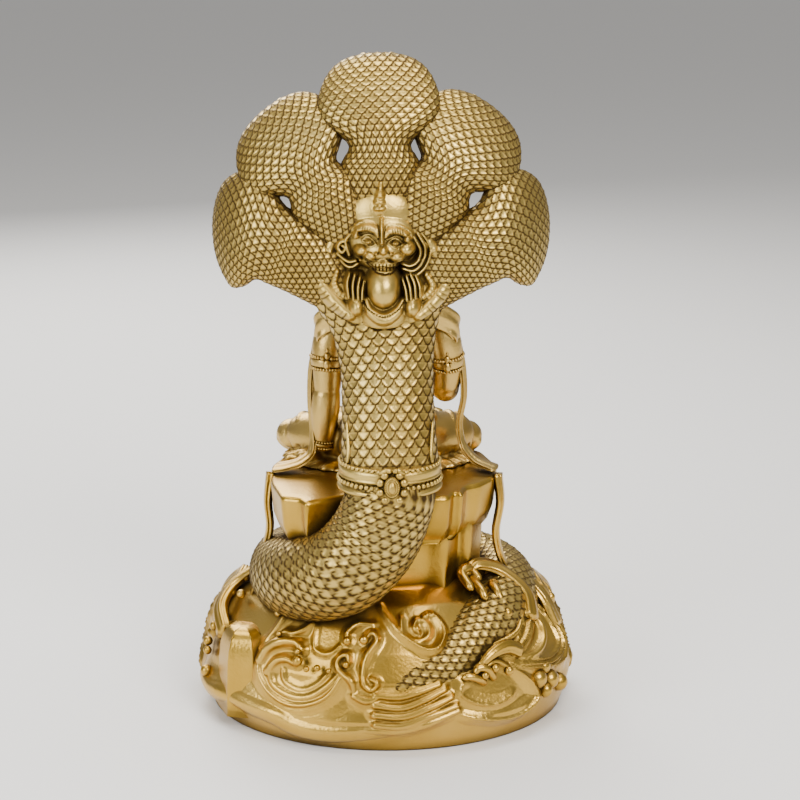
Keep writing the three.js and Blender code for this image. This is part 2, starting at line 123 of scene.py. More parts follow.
# Signed volume of a shell, which is positive when its faces point outwards.
def signedVolume(made):
    c = made["corners"]
    q = made["quads"]
    t = np.vstack([q[:, [0, 1, 2]], q[:, [0, 2, 3]], made["tris"]])
    return np.einsum("ij,ij->i", c[t[:, 0]], np.cross(c[t[:, 1]], c[t[:, 2]])).sum() / 6


# Turns a shell's faces round when they point inwards.
def outward(made):
    if signedVolume(made) < 0:
        made["quads"] = made["quads"][:, ::-1]
        made["tris"] = made["tris"][:, ::-1]
    return made


# One mesh object from several closed shells, in metres, smooth shaded, riding on the root body.
def piece(name, shells, material, slot, smooth=True):
    start, corners, quads, tris = 0, [], [], []
    names = sorted({key for made in shells for key in made["marks"]})
    marks = {key: [] for key in names}
    for made in shells:
        made = outward(made)
        corners.append(made["corners"])
        quads.append(made["quads"] + start)
        tris.append(made["tris"] + start)
        for key in names:
            marks[key].append(made["marks"].get(key, np.zeros(len(made["corners"]))))
        start += len(made["corners"])
    mesh = bpy.data.meshes.new(name)
    faces = np.vstack(quads).tolist() + np.vstack(tris).tolist()
    mesh.from_pydata((np.vstack(corners) * millimetre).tolist(), [], faces)
    for key in names:
        layer = mesh.attributes.new(key, "FLOAT", "POINT")
        layer.data.foreach_set("value", np.concatenate(marks[key]).astype(np.float32))
    mesh.polygons.foreach_set("use_smooth", [smooth] * len(faces))
    mesh.materials.append(material)
    mesh.update()
    made = bpy.data.objects.new(name, mesh)
    bpy.context.collection.objects.link(made)
    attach(made, "root")
    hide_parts(slot)
    return made


# Brass: gold that turns dark brown in recesses by ambient occlusion and the piece's groove mark, partly the
# patina the brass holds in its hollows and partly painted shade, with faint clouding of tone and a fine cast
# grain as bump.
def brass(name, look):
    made = bpy.data.materials.new(name)
    made.use_nodes = True
    tree = made.node_tree
    shader = tree.nodes["Principled BSDF"]
    shader.inputs["Metallic"].default_value = look["metallic"]

    def node(kind, **values):
        new = tree.nodes.new(kind)
        for key, value in values.items():
            setattr(new, key, value)
        return new

    def link(a, b):
        tree.links.new(a, b)

    def ranged(value, low, high, toLow, toHigh):
        new = node("ShaderNodeMapRange")
        link(value, new.inputs["Value"])
        for key, number in zip(("From Min", "From Max", "To Min", "To Max"), (low, high, toLow, toHigh)):
            new.inputs[key].default_value = number
        return new.outputs["Result"]

    def maths(operation, a, b):
        new = node("ShaderNodeMath", operation=operation, use_clamp=True)
        for socket, value in zip(new.inputs, (a, b)):
            if isinstance(value, float):
                socket.default_value = value
            else:
                link(value, socket)
        return new.outputs[0]

    def blend(factor, a, b):
        new = node("ShaderNodeMix", data_type="RGBA")
        link(factor, new.inputs["Factor"])
        for key, value in ((6, a), (7, b)):
            if isinstance(value, tuple):
                new.inputs[key].default_value = (*value, 1)
            else:
                link(value, new.inputs[key])
        return new.outputs[2]

    place = node("ShaderNodeTexCoord").outputs["Object"]
    cloud = node("ShaderNodeTexNoise")
    cloud.inputs["Scale"].default_value = look["cloudScale"]
    cloud.inputs["Detail"].default_value = 4
    grain = node("ShaderNodeTexNoise")
    grain.inputs["Scale"].default_value = look["grainScale"]
    grain.inputs["Detail"].default_value = 2
    for noise in (cloud, grain):
        link(place, noise.inputs["Vector"])
    # Ambient occlusion and the groove mark make a darkening mask: partly patina in the hollows, partly
    # painted shade in creases and between parts.
    hidden = node("ShaderNodeAmbientOcclusion", samples=6)
    hidden.inputs["Distance"].default_value = look["reach"]
    groove = node("ShaderNodeAttribute", attribute_name="groove")
    recessShadeAndPatina = ranged(hidden.outputs["AO"], look["darkAt"], look["unoccludedAt"], 1.0, 0.0)
    patinaAndPaintedShade = maths("ADD", recessShadeAndPatina, maths("MULTIPLY", groove.outputs["Fac"], look["grooveShare"]))
    shadePatinaAndCloud = maths("ADD", patinaAndPaintedShade, ranged(cloud.outputs["Fac"], 0.52, 0.8, 0.0, look["cloudShare"]))
    warm = blend(ranged(cloud.outputs["Fac"], 0.35, 0.65, 0.0, 1.0), look["gold"], look["deepGold"])
    # The base colour goes from the gold tones to dark brown by this mask, which is patina, random clouding
    # and painted shade; the same mask roughens the surface.
    link(blend(shadePatinaAndCloud, warm, look["patinaAndPaintedShade"]), shader.inputs["Base Color"])
    link(ranged(shadePatinaAndCloud, 0.0, 1.0, look["polish"], 0.72), shader.inputs["Roughness"])
    bump = node("ShaderNodeBump")
    bump.inputs["Strength"].default_value = look["grainStrength"]
    bump.inputs["Distance"].default_value = 0.0004
    link(grain.outputs["Fac"], bump.inputs["Height"])
    link(bump.outputs["Normal"], shader.inputs["Normal"])
    return made


brassLooks = {
    # The dark brown that recesses turn to stands for the patina in the hollows and also for painted shade.
    "gold": (0.62, 0.45, 0.13), "deepGold": (0.54, 0.36, 0.08), "patinaAndPaintedShade": (0.07, 0.04, 0.012),
    "metallic": 1.0, "polish": 0.34, "cloudScale": 28.0, "cloudShare": 0.16, "grainScale": 900.0,
    "grainStrength": 0.25, "reach": 0.0045, "darkAt": 0.3, "unoccludedAt": 0.82, "grooveShare": 1.2,
}
hoodBrass = brass("scaleBrass", brassLooks)
plinthBrass = brass("waterBrass", {**brassLooks, "gold": (0.61, 0.39, 0.085), "deepGold": (0.49, 0.29, 0.04),
                                   "polish": 0.28, "reach": 0.006})
rockBrass = brass("rockBrass", {**brassLooks, "gold": (0.54, 0.33, 0.05), "deepGold": (0.42, 0.24, 0.025),
                                "polish": 0.3, "cloudShare": 0.3, "reach": 0.006})
figureBrass = brass("skinBrass", {**brassLooks, "gold": (0.6, 0.41, 0.12), "deepGold": (0.5, 0.31, 0.07),
                                  "polish": 0.33})
print("materials made")


# Overlapping scales, their free edges towards the tail. s counts scales round the body and t counts
# rows towards the head; every second row is set off by half a scale. A scale's free edge is a rounded
# point that widens to the full width over one row, and behind it the scale dips under the next one.
# Gives the height, from 0 to 1, and a mark along each free edge that the material darkens: patina in the
# groove and painted shade under the overhanging edge.
def scaleRelief(s, t, width, length, look):
    row = np.floor(t)
    a = t - row
    place = s + 0.5 * (row % 2)
    x = place - np.round(place)
    halfAt = lambda share: 0.5 * (1 - np.clip(1 - share, 0, 1) ** 1.7) ** 0.72
    edge, step = halfAt(a), 0.02
    slope = (halfAt(a + step) - edge) / step
    beyond = (np.abs(x) - edge) / np.sqrt((1 / width) ** 2 + (slope / length) ** 2)
    over = 1 / (1 + np.exp(np.clip(beyond / look["edge"], -30, 30)))
    rowStep = 37.0                       # sets the scales' numbers of one row apart from the next's
    number = np.round(place) + rowStep * row
    numberUnder = np.round(place + 0.5 * np.sign(x)) - 0.5 * np.sign(x) + rowStep * (row - 1)
    chance = lambda n: np.modf(np.abs(np.sin(n * 12.9898) * 43758.5453))[0] - 0.5
    top0, slant = 1.0, 0.42              # a scale's height at its free edge, and how far it dips in one row
    top = top0 - slant * a + look["tilt"] * (chance(number) * x * 2 + chance(number + 0.3) * (a - 0.5))
    xUnder = 0.5 - np.abs(x)
    under = top0 - slant * (1 + a) + look["tilt"] * chance(numberUnder + 0.3) * (a - 0.5)
    crown = look["crown"]
    height = over * (top - crown * (2 * x) ** 2) + (1 - over) * (under - crown * (2 * xUnder) ** 2)
    # The mark for the dark line under each free edge: patina in the groove plus painted shade where the next
    # scale overhangs.
    line = np.exp(-((np.clip(beyond, -9, 9) - look["edge"]) / look["line"]) ** 2)
    return height - look["cut"] * line, line


# Shares of the way round, 0 at the middle of the back: close together over the scales and wider apart
# over the belly.
def columnShares(look):
    half = (1 - look.get("belly", 0.0)) / 2
    fine = np.linspace(-half, half, round(2 * half * look["around"] * look["columns"]) + 1)
    coarse = np.linspace(half, 1 - half, max(2, round((1 - 2 * half) * look["around"] * 3)) + 1)[1:-1]
    return np.sort(np.modf(np.concatenate([fine[:-1] if half == 0.5 else fine, coarse]) + 1)[0])


# A scaled tube: a lattice of rows and columns that follows the scales, lifted along its outward way.
def scaledTube(spine, wide, thick, side, look, start=0.0, end=1.0):
    ratio = np.median(np.asarray(wide, float) / np.asarray(thick, float))
    shares = columnShares(look)
    angles = evenAngles(ratio, shares)
    length = evenPlaces(spine, 2, start, end)[1]
    rows = max(2, round(length / look["row"]))
    places = evenPlaces(spine, rows * look["steps"] + 1, start, end)[0]
    points = tubeGrid(spine, wide, thick, side, angles, places)
    s, t = np.meshgrid(shares * look["around"], np.linspace(0, rows, len(places)))
    girth = np.linalg.norm(np.roll(points, -1, axis=1) - points, axis=2).sum(1)[:, None]
    height, line = scaleRelief(s, t, girth / look["around"], look["row"], look)
    belly = look.get("belly", 0.0)
    if belly:
        plain = 1 / (1 + np.exp((np.abs(shares - 0.5)[None, :] - belly / 2) / 0.006))
        plate = np.modf(t / look["plateRows"])[0]
        bands = 0.9 * np.clip(plate * 6, 0, 1) * (1 - 0.4 * plate)
        # Dark mark along the joins between belly plates: patina in the joins plus painted shade.
        gap = np.exp(-((plate - 0.02) / 0.07) ** 2)
        height = height * (1 - plain) + bands * plain
        line = line * (1 - plain) + gap * plain
    made = shell(points + look["lift"] * height[..., None] * gridNormals(points), groove=line)
    return outward(made)


hoodValues = {
    "around": 20, "row": 3.0, "lift": 0.62, "columns": 8, "steps": 8, "crown": 0.16, "tilt": 0.28,
    "edge": 0.1, "line": 0.4, "cut": 0.45,
}


# The trunk from the belt up to the fan: its back leans forwards, with scales behind and belly plates
# in front.
def trunk():
    spine = [[-1, 38, 96.4], [-1, 37, 104], [-0.5, 33, 120], [0, 27, 138], [1, 22, 153], [2, 19, 166],
             [2, 17, 180]]
    wide = [17.9, 18.2, 17.2, 17.2, 19.8, 25.8, 22]
    thick = [15.3, 14.8, 13.3, 12.3, 11.8, 11, 8]
    return scaledTube(spine, wide, thick, (1, 0, 0), {**hoodValues, "belly": 0.3, "plateRows": 1.4})


# One neck: its middle line is a bend in the plane of the fan that arches forwards, and its width runs
# square to that bend.
def neck(root, aim, tip, heel, pinch):
    root, aim, tip = (np.asarray(p, float) for p in (root, aim, tip))

    def onLine(t):
        t = max(0.0, t)
        return (1 - t) ** 2 * root + 2 * t * (1 - t) * aim + t * t * tip

    def place(t, y):
        x, z = onLine(t)
        return [x, y, z]

    fine = np.array([onLine(t) for t in np.linspace(0, 1, 60)])
    length = np.linalg.norm(np.diff(fine, axis=0), axis=1).sum()

    def side(at, ahead):
        t = np.clip(np.hypot(at[:, 0] - root[0], at[:, 2] - root[1]) / length, 0, 1)[:, None]
        run = 2 * (1 - t) * (aim - root) + 2 * t * (tip - aim)
        return np.stack([run[:, 1], 0 * run[:, 0], -run[:, 0]], 1)

    spine = [place(0, 17), place(0.2, 18.5), place(0.4, 19), place(0.52, 18), place(0.62, 17),
             place(0.72, 14), place(0.84, 8.5), place(0.96, -1), place(0.94, -12)]
    wide = [heel, 0.4 * heel + 8, 14, 14.5, pinch, 20, 22, 17, 7]
    thick = [8, 9, 9, 9, 8, 7.4, 6.6, 6, 5]
    look = {**hoodValues, "around": 26, "row": 2.0, "lift": 0.5, "columns": 6, "steps": 5, "belly": 0.42,
            "plateRows": 2.0, "line": 0.36}
    return scaledTube(spine, wide, thick, side, look)


neckValues = {
    # root, aim and tip of the bend as x and z, then the half widths at the root and at the pinch
    "Centre": ((2, 175), (2, 210), (3.4, 247), 11, 11.5),
    "UpperLeft": ((2, 175), (22, 200), (43, 227), 11, 11.5),
    "UpperRight": ((2, 175), (-17, 201), (-36, 228.5), 11, 11.5),
    "LowerLeft": ((2, 160), (40, 187), (61, 187.6), 14, 15),
    "LowerRight": ((2, 160), (-36, 187.5), (-56.5, 188.4), 14, 15),
}
for name, values in neckValues.items():
    piece("neck" + name, [neck(*values)], hoodBrass, "naga_hood")
piece("nagaTrunk", [trunk()], hoodBrass, "naga_hood")
print("trunk and necks made")


# The naga below the belt, listed from its tail under the water to the cut under the belt.
def lowerCoil():
    spine = [[9, 45, 13], [-4, 46, 21], [-18, 42, 27], [-31, 33, 34], [-41, 21, 39], [-46, 3, 42],
             [-42, -19, 43], [-26, -35, 44], [-4, -40, 45], [18, -37, 46], [34, -25, 48], [39, -6, 51],
             [37, 15, 54], [29, 32, 59], [16, 42, 66], [5, 42, 78], [-1, 39.5, 92], [-1, 38, 96]]
    wide = [10, 12, 12.5, 13, 13.5, 13.5, 13, 12.5, 12, 12, 13, 14, 15.5, 16.5, 17, 17, 16.5, 16.5]
    look = {**hoodValues, "around": 23, "row": 2.6, "lift": 0.6, "columns": 5, "steps": 4}
    return scaledTube(spine, wide, wide, lambda at, ahead: at * [1, 1, 0], look)


piece("lowerCoil", [lowerCoil()], hoodBrass, "wave_plinth")
print("coil made")


# The mound of water: an oval whose width at each height is a share of the base's.
base = {
    "halfWidth": 72.0, "halfDepth": 59.0, "foot": 12.0, "top": 53.0,
    "heights": [0, 12, 27, 36, 43, 49, 53], "shares": [0.955, 1, 0.945, 0.87, 0.77, 0.65, 0.5],
}


# The mound's point at an angle in degrees, 0 at +X and 90 at +Y, and a height, moved out by a length
# from a point low on the axis.
def onMound(way):
    way = np.asarray(way, float)
    angle, height = np.radians(way[..., 0]), way[..., 1]
    share = np.interp(height, base["heights"], base["shares"])
    x = base["halfWidth"] * share * np.cos(angle)
    y = base["halfDepth"] * share * np.sin(angle)
    at = np.stack([x, y, height], -1)
    if way.shape[-1] > 2:
        at = at + way[..., 2:] * unit(at - [0, 0, base["foot"]])
    return at


skirtWidth = 2.4                         # in half widths of the strand
skirtShare = {"water": 0.5, "mask": 0.62}


# Raises a strand along a curve on a surface: by the distance q from the curve, in half widths, the
# height is the rise times a profile of q. A round profile is sqrt(1-q*q), a sharp one 1-q. Flutes add
# a cosine across the strand, and ribs a cosine along it, with a pitch in mm. A skirt is a share of the
# rise: a soft mound 2.4 half widths wide under the strand, which fills the gaps between neighbours.
def raiseStrand(points, lift, curve, wide, rise, outward, shape="round", flutes=0, depth=0.25, ribs=None,
                skirt=0.0):
    t = np.linspace(0, 1, len(curve))
    widths = smoothThrough(wide, t)[:, 0] if np.ndim(wide) else np.full(len(t), float(wide))
    rises = smoothThrough(rise, t)[:, 0] if np.ndim(rise) else np.full(len(t), float(rise))
    reach = widths.max() * (skirtWidth if skirt else 1)
    near = np.all((points > curve.min(0) - reach) & (points < curve.max(0) + reach), axis=1)
    p = points[near]
    if not len(p):
        return
    square = (p ** 2).sum(1)[:, None] + (curve ** 2).sum(1)[None] - 2 * p @ curve.T
    k = square.argmin(1)
    d = np.sqrt(np.maximum(square[np.arange(len(p)), k], 0))
    q = d / widths[k]
    profile = np.clip(1 - q, 0, 1) ** 1.3 if shape == "sharp" else np.sqrt(np.clip(1 - q * q, 0, 1))
    if flutes:
        ahead = unit(np.gradient(curve, axis=0))[k]
        left = np.sign((np.cross(ahead, p - curve[k]) * outward(p)).sum(1))
        profile = profile * (1 - depth + depth * np.cos(np.pi * flutes * left * np.clip(q, 0, 1)))
    if ribs:
        run = np.concatenate([[0], np.cumsum(np.linalg.norm(np.diff(curve, axis=0), axis=1))])[k]
        profile = profile * (1 - ribs[1] + ribs[1] * np.cos(2 * np.pi * run / ribs[0]))
    profile = np.maximum(profile, skirt * np.clip(1 - (q / skirtWidth) ** 2, 0, 1) ** 1.5)
    lift[near] = np.maximum(lift[near], rises[k] * profile)


# Raises a strand whose way is given as points of angle and height on the mound.
def strand(points, lift, way, wide, rise, shape="round", flutes=0):
    curve = onMound(smoothThrough(way, np.linspace(0, 1, max(24, 14 * len(way)))))
    away = lambda p: unit(p - [0, 0, base["foot"]])
    raiseStrand(points, lift, curve, wide, rise, away, shape, flutes, skirt=skirtShare["water"])


# Sinks a round hollow, or raises a dome when deep is negative, about a point of the mound.
def hollow(points, lift, at, wide, deep, power=1.0):
    d = np.linalg.norm(points - onMound(at), axis=1) / wide
    lift -= deep * np.clip(1 - d * d, 0, 1) ** power


# Strands that the photograph shows, as points of angle and height with half widths and rises in mm.
whirlStrands = [
    # The ring round the whirl, its second and inner turns, and the two strands that curl over it.
    ([[45, 31.4], [46.5, 25], [51, 19.5], [58, 16.4], [65, 17], [71.5, 21], [76, 28.8]],
     [1.8, 2.6, 3.2, 3.2, 3, 2.6, 1.6], [2.2, 2.8, 3.2, 3.2, 3, 2.6, 1.6], "round", 2),
    ([[50, 28], [52.5, 21.6], [59.7, 18.9], [66, 20], [71.4, 24.7], [74.3, 28.6]],
     [1.4, 1.7, 1.8, 1.7, 1.5, 1.0], [2.2, 2.2, 2.2, 2.2, 2.0, 1.4], "round", 0),
    ([[54.6, 28], [56.6, 23.2], [62.4, 21.4], [67.6, 24.2], [70.8, 28.4]],
     [0.8, 1.2, 1.3, 1.2, 0.8], 1.2, "round", 0),
    ([[45.3, 29], [46.8, 33.4], [51.3, 36.4], [57.1, 37.1], [60.3, 35.4]],
     [2.2, 2.3, 2.1, 1.7, 1.2], [3.0, 3.6, 3.8, 3.6, 3.0], "round", 0),
    ([[49.4, 25.5], [51.8, 29.9], [55.4, 31.4], [59.6, 30.5]],
     [1.7, 1.8, 1.6, 1.2], [2.8, 3.4, 3.4, 2.8], "round", 0),
    ([[46.4, 43.2], [45.9, 38], [44.2, 32.5]], [1.4, 1.6, 1.8], [2.4, 2.4, 2.2], "round", 0),
    ([[47.7, 34.5], [50.5, 39.0], [54.6, 39.4], [58.3, 41.2], [60.3, 43.4]],
     [1.1, 1.2, 1.2, 1.2, 1.0], [2.0, 2.8, 3.0, 2.6, 2.0], "round", 0),
]
crestStrands = [
    # Small crests right of the whirl, and the swell under them.
    ([[75.7, 39.8], [75.4, 42.2], [79.0, 44.4], [84.7, 44.4]], [1.5, 1.3, 1.2, 0.9], [2.8, 2.8, 2.6, 2.0],
     "round", 0),
    ([[82.3, 40.2], [84.4, 42.4], [86.4, 40.3], [83.6, 35.9], [82.6, 31.5], [82.9, 27], [85.2, 24.6],
      [87.1, 27],
      [85, 28.2]], [1.1, 1.2, 1.3, 1.5, 1.5, 1.3, 1.1, 1.0, 0.8],
      [2.6, 2.8, 2.8, 2.6, 2.4, 2.4, 2.4, 2.4, 2.0],
     "round", 0),
    ([[77.6, 33.2], [76.6, 35.6], [74.2, 34.6], [73.8, 31.6], [76.3, 29.2], [79, 27.2], [79.9, 23.6]],
     [0.9, 1.1, 1.2, 1.3, 1.4, 1.4, 0.9], [2.4, 2.6, 2.6, 2.6, 2.6, 2.6, 1.6], "round", 0),
    ([[62, 42.5], [64, 37], [67.5, 35], [71, 35.6], [73.4, 38]], [0.9, 0.9, 0.9, 0.9, 0.8], 1.0, "round", 0),
    ([[80, 22], [83.8, 20.6], [87.6, 22]], [1.4, 1.8, 1.2], [2.0, 2.4, 1.8], "round", 0),
    # The comb of water.
    ([[86.6, 22.6], [93.2, 22], [98.9, 23.5], [106, 25.8]], [1.4, 1.6, 1.7, 1.2], [2.0, 2.6, 2.8, 2.2],
     "round", 0),
    ([[86.4, 19], [94.4, 18.2], [101, 20.8], [107.6, 24]], [1.6, 1.8, 1.8, 1.2], [2.6, 3.2, 3.4, 2.8],
     "round", 0),
    ([[86.2, 15.4], [94.8, 15], [102.3, 17.9], [109.4, 21]], [1.6, 1.9, 1.9, 1.2], [3.0, 3.8, 4.0, 3.2],
     "round", 0),
    ([[86.6, 12], [94.3, 11.7], [102.1, 14.8], [110.8, 17.6]], [1.5, 1.9, 1.9, 1.2], [3.0, 3.8, 4.0, 3.2],
     "round", 0),
    ([[78, 9.6], [86, 9.2], [94.4, 9.6], [102.9, 12.6], [111.4, 15.6]], [1.2, 1.8, 2.0, 1.9, 1.2],
     [1.2, 2.4, 3.4, 3.4, 2.4], "round", 0),
    # The rolled lip along the foot, and the sharp rim of the hollow right of the comb.
    ([[14, 12], [24, 10.5], [34, 12.5], [45.7, 11.2], [53.9, 10.2], [61, 7.6], [70.4, 6.4], [82, 7.6],
      [94, 8.6]],
     [3.4, 4.0, 4.2, 4.2, 4.2, 4.2, 4.0, 3.4, 2.0], [2.2, 3.0, 2.8, 2.8, 3.0, 3.0, 2.8, 2.2, 1.2], "round",
     0),
    ([[111, 14.8], [114.2, 12.9], [119, 11.5], [124.4, 10.2], [130.2, 9.7], [135.6, 11], [139.8, 13.4],
      [139.4, 18],
      [136.8, 22.6], [132, 27.4]], [1.2, 1.6, 1.8, 2.0, 2.0, 2.0, 2.0, 1.9, 1.7, 1.2],
     [1.6, 2.4, 2.8, 3.0, 3.2, 3.4, 3.6, 3.4, 2.8, 1.8], "sharp", 0),
]
waveStrands = [
    # The tall wave right of the seat, in strands, with its second crest and what lies beyond it.
    ([[176, 49], [166.8, 47], [157.5, 43], [150, 38.8], [141.5, 34.6], [133.5, 31.6], [123, 32.6]],
     [2.2, 2.8, 3.2, 3.2, 2.9, 2.4, 1.4], [3, 4.2, 5, 5, 4.4, 3.4, 2], "round", 3),
    ([[163, 51], [158, 49.4], [153, 45.6], [147, 40.8], [140, 37.2], [131, 35.8], [125, 35.4]],
     [1.2, 1.5, 1.7, 1.7, 1.6, 1.4, 1.0], [3, 4.2, 4.6, 4.4, 4, 3, 2], "round", 0),
    ([[166, 40], [167, 35.5], [166.6, 29.8], [163.5, 24.9], [153, 23.2], [141, 26.2], [132.7, 28]],
     [1.8, 2.4, 2.9, 3, 2.8, 2.4, 1.4], [3, 4, 4.8, 4.8, 4.4, 3.4, 2], "round", 3),
    ([[157, 38], [156, 34.4], [151.5, 30.6], [144, 28.6], [137, 29.4]], [1.4, 1.8, 1.9, 1.7, 1.0],
     [2.6, 3.4, 3.6, 3.2, 2.0], "round", 0),
    ([[176, 36], [174, 30], [173, 24], [166, 19.4], [156, 19.6]], [2.2, 2.6, 2.6, 2.2, 1.4],
     [2.4, 3.2, 3.4, 3, 2], "round", 2),
    ([[145, 38.6], [148.6, 43], [147, 47], [141.6, 47.2], [138.3, 44.6]], [1.2, 1.4, 1.5, 1.4, 1.1],
     [4.4, 5, 5, 4.6, 3.6], "round", 0),
    ([[121, 26.6], [122.5, 29.6], [126.5, 30.4], [130.2, 27.6]], [1.2, 1.5, 1.5, 1.2], [3, 3.8, 3.8, 3],
     "round", 0),
    ([[113.5, 25], [113, 21], [117.4, 17.2], [124, 15.6], [130.5, 17.4]], [1.6, 1.8, 1.8, 1.6, 1.2],
     [2.2, 2.4, 2.4, 2.2, 1.4], "round", 2),
]
# Strands that go on round the sides and the front in the same manner.
hiddenStrands = [
    ([[0, 10], [-9, 20], [-10, 31], [-2, 38], [8, 34], [7, 27]], [3, 3.6, 3.4, 2.8, 2.2, 1.4],
     [3, 4.2, 4.6, 4.2, 3.6, 2.8], "round", 3),
    ([[-30, 9], [-40, 17], [-45, 28], [-40, 38], [-30, 39], [-28, 32]], [3.4, 4, 3.8, 3, 2.2, 1.4],
     [3, 4.4, 4.8, 4.4, 3.6, 2.8], "round", 3),
    ([[-18, 8], [-26, 15], [-30, 24], [-25, 31], [-17, 30]], [2.2, 2.6, 2.4, 2, 1.2],
     [2.4, 3.2, 3.4, 3, 2.4], "round", 2),
    ([[-60, 12], [-52, 20], [-54, 30], [-64, 34], [-74, 29], [-73, 20], [-65, 17]],
     [2.4, 2.8, 2.8, 2.6, 2.2, 1.8, 1.2], [2.6, 3.2, 3.4, 3.2, 3, 2.6, 2], "round", 2),
    ([[-120, 12], [-128, 20], [-126, 30], [-116, 34], [-106, 29], [-107, 20], [-115, 17]],
     [2.4, 2.8, 2.8, 2.6, 2.2, 1.8, 1.2], [2.6, 3.2, 3.4, 3.2, 3, 2.6, 2], "round", 2),
    ([[-100, 8], [-91, 15], [-85, 25], [-88, 35], [-97, 38], [-101, 32]], [3, 3.4, 3.2, 2.6, 2, 1.2],
     [2.4, 3.4, 3.8, 3.4, 3, 2.4], "round", 3),
    ([[-152, 9], [-142, 18], [-136, 29], [-141, 39], [-151, 40], [-152, 33]], [3.4, 4, 3.8, 3, 2.2, 1.4],
     [3, 4.4, 4.8, 4.4, 3.6, 2.8], "round", 3),
    ([[-176, 10], [-169, 20], [-165, 31], [-171, 39], [-180, 38], [-181, 31]], [3, 3.6, 3.4, 2.8, 2, 1.2],
     [3, 4, 4.4, 4, 3.4, 2.6], "round", 3),
]
rimStrands = [
    # The leaf-shaped rim under the coil, the spiral in its nest, and the swells over the far side.
    ([[86.8, 49.4], [90.7, 45.8], [94.5, 42.4], [99.3, 38.8], [104, 36.8], [108, 37.8], [111, 41.3],
      [111, 44.4],
      [108.6, 46.6], [105, 46]], [0.8, 1.0, 1.1, 1.2, 1.2, 1.2, 1.1, 1.0, 0.9, 0.7],
     [2.4, 3.0, 3.4, 3.8, 4.0, 4.0, 3.8, 3.4, 3.0, 2.4], "sharp", 0),
    ([[95.6, 46], [95.6, 42.4], [100, 39.6], [105, 41], [105.6, 44], [102.6, 45.4], [100.2, 43.8],
      [101.6, 42]],
     [1.0, 1.1, 1.2, 1.1, 1.0, 0.9, 0.8, 0.7], [1.2, 1.6, 1.8, 1.8, 1.6, 1.6, 1.8, 2.0], "round", 0),
]


# The mound's skin: a grid over angle and height, finer on the back, lifted along its outward way by
# the strands, the hollows and a slow swell.
def moundSurface():
    back = np.linspace(-6, 186, 440, endpoint=False)
    front = np.linspace(186, 354, 200, endpoint=False)
    angles = np.concatenate([back, front])
    heights = np.concatenate([np.linspace(0, 50.5, 100), np.linspace(51, 53, 6)])
    a, h = np.meshgrid(angles, heights)
    grid = onMound(np.stack([a, h], -1))
    inner = [grid[-1] * [k, k, 1] for k in (0.86, 0.6, 0.3)]
    under = [grid[0] * [k, k, 1] for k in (0.3, 0.6, 0.95)]
    points = grid.reshape(-1, 3)
    lift = np.zeros(len(points))
    swell = 0.8 * np.sin(np.radians(3 * a + 4 * h)).ravel() + 0.5 * np.sin(np.radians(7 * a - 6 * h)).ravel()
    hollow(points, lift, (61, 27), 12, 3.4, 0.7)
    hollow(points, lift, (124, 19), 13, 3.6, 0.8)
    hollow(points, lift, (101, 43), 7, 2.4, 0.8)
    hollow(points, lift, (68, 14), 13, -0.8)
    for group in (whirlStrands, crestStrands, waveStrands, hiddenStrands, rimStrands):
        for way, wide, rise, shape, flutes in group:
            strand(points, lift, way, wide, rise, shape, flutes)
    lift = (lift + swell * np.clip(points[:, 2] / 14, 0, 1)).reshape(a.shape)
    rim = np.clip((h - 0.8) / 3, 0, 1) ** 0.5
    raised = grid + (lift * rim)[..., None] * unit(gridNormals(grid) * [1, 1, 0.6])
    raised[..., 2] = np.maximum(raised[..., 2], 0)
    return shell(np.concatenate([under, raised, inner]))


# An ellipsoid: size*(cos b cos a, cos b sin a, sin b) about its middle.
def ball(at, size, rows=10, cols=14):
    half = np.broadcast_to(np.asarray(size, float), 3)
    a = np.linspace(0, 2 * np.pi, cols, endpoint=False)[None, :]
    b = np.linspace(-np.pi / 2, np.pi / 2, rows + 2)[1:-1, None]
    way = np.stack([np.cos(b) * np.cos(a), np.cos(b) * np.sin(a), np.sin(b) + 0 * a], -1)
    return shell(np.asarray(at, float) + half * way)


# A plain tube that tapers: its two radii follow the lists, and flutes run along it as a cosine of the
# angle round it.
def tube(spine, wide, thick=None, side=(1, 0, 0), cols=20, rows=40, flutes=0, depth=0.12, cap=0.0):
    places = evenPlaces(spine, rows)[0]
    thick = wide if thick is None else thick
    angles = np.linspace(0, 2 * np.pi, cols, endpoint=False)
    points = tubeGrid(spine, wide, thick, side, angles, places)
    middle = points.mean(1, keepdims=True)
    shape = 1 + depth * np.cos(flutes * angles)[None, :, None] if flutes else 1.0
    if cap:
        t = np.linspace(0, 1, rows)
        ends = np.sqrt(np.clip(1 - np.clip(1 - np.minimum(t, 1 - t) / cap, 0, 1) ** 2, 0.01, 1))
        shape = shape * ends[:, None, None]
    return shell(middle + (points - middle) * shape)


# An arm of water that stands free of the mound and thins to a drop.
def crest(way, wide, thick=0.62, drop=0.5, flutes=7):
    spine = onMound(np.asarray(way, float))
    widths = [wide * (1 - 0.6 * (k / (len(way) - 1)) ** 1.5) for k in range(len(way))]
    side = lambda at, ahead: np.cross(at - [0, 0, base["foot"]], ahead)
    arm = tube(spine, widths, [w * thick for w in widths], side, cols=35, rows=44, flutes=flutes,
               depth=0.09, cap=0.06)
    return [arm, ball(spine[-1], wide * drop)] if drop else [arm]


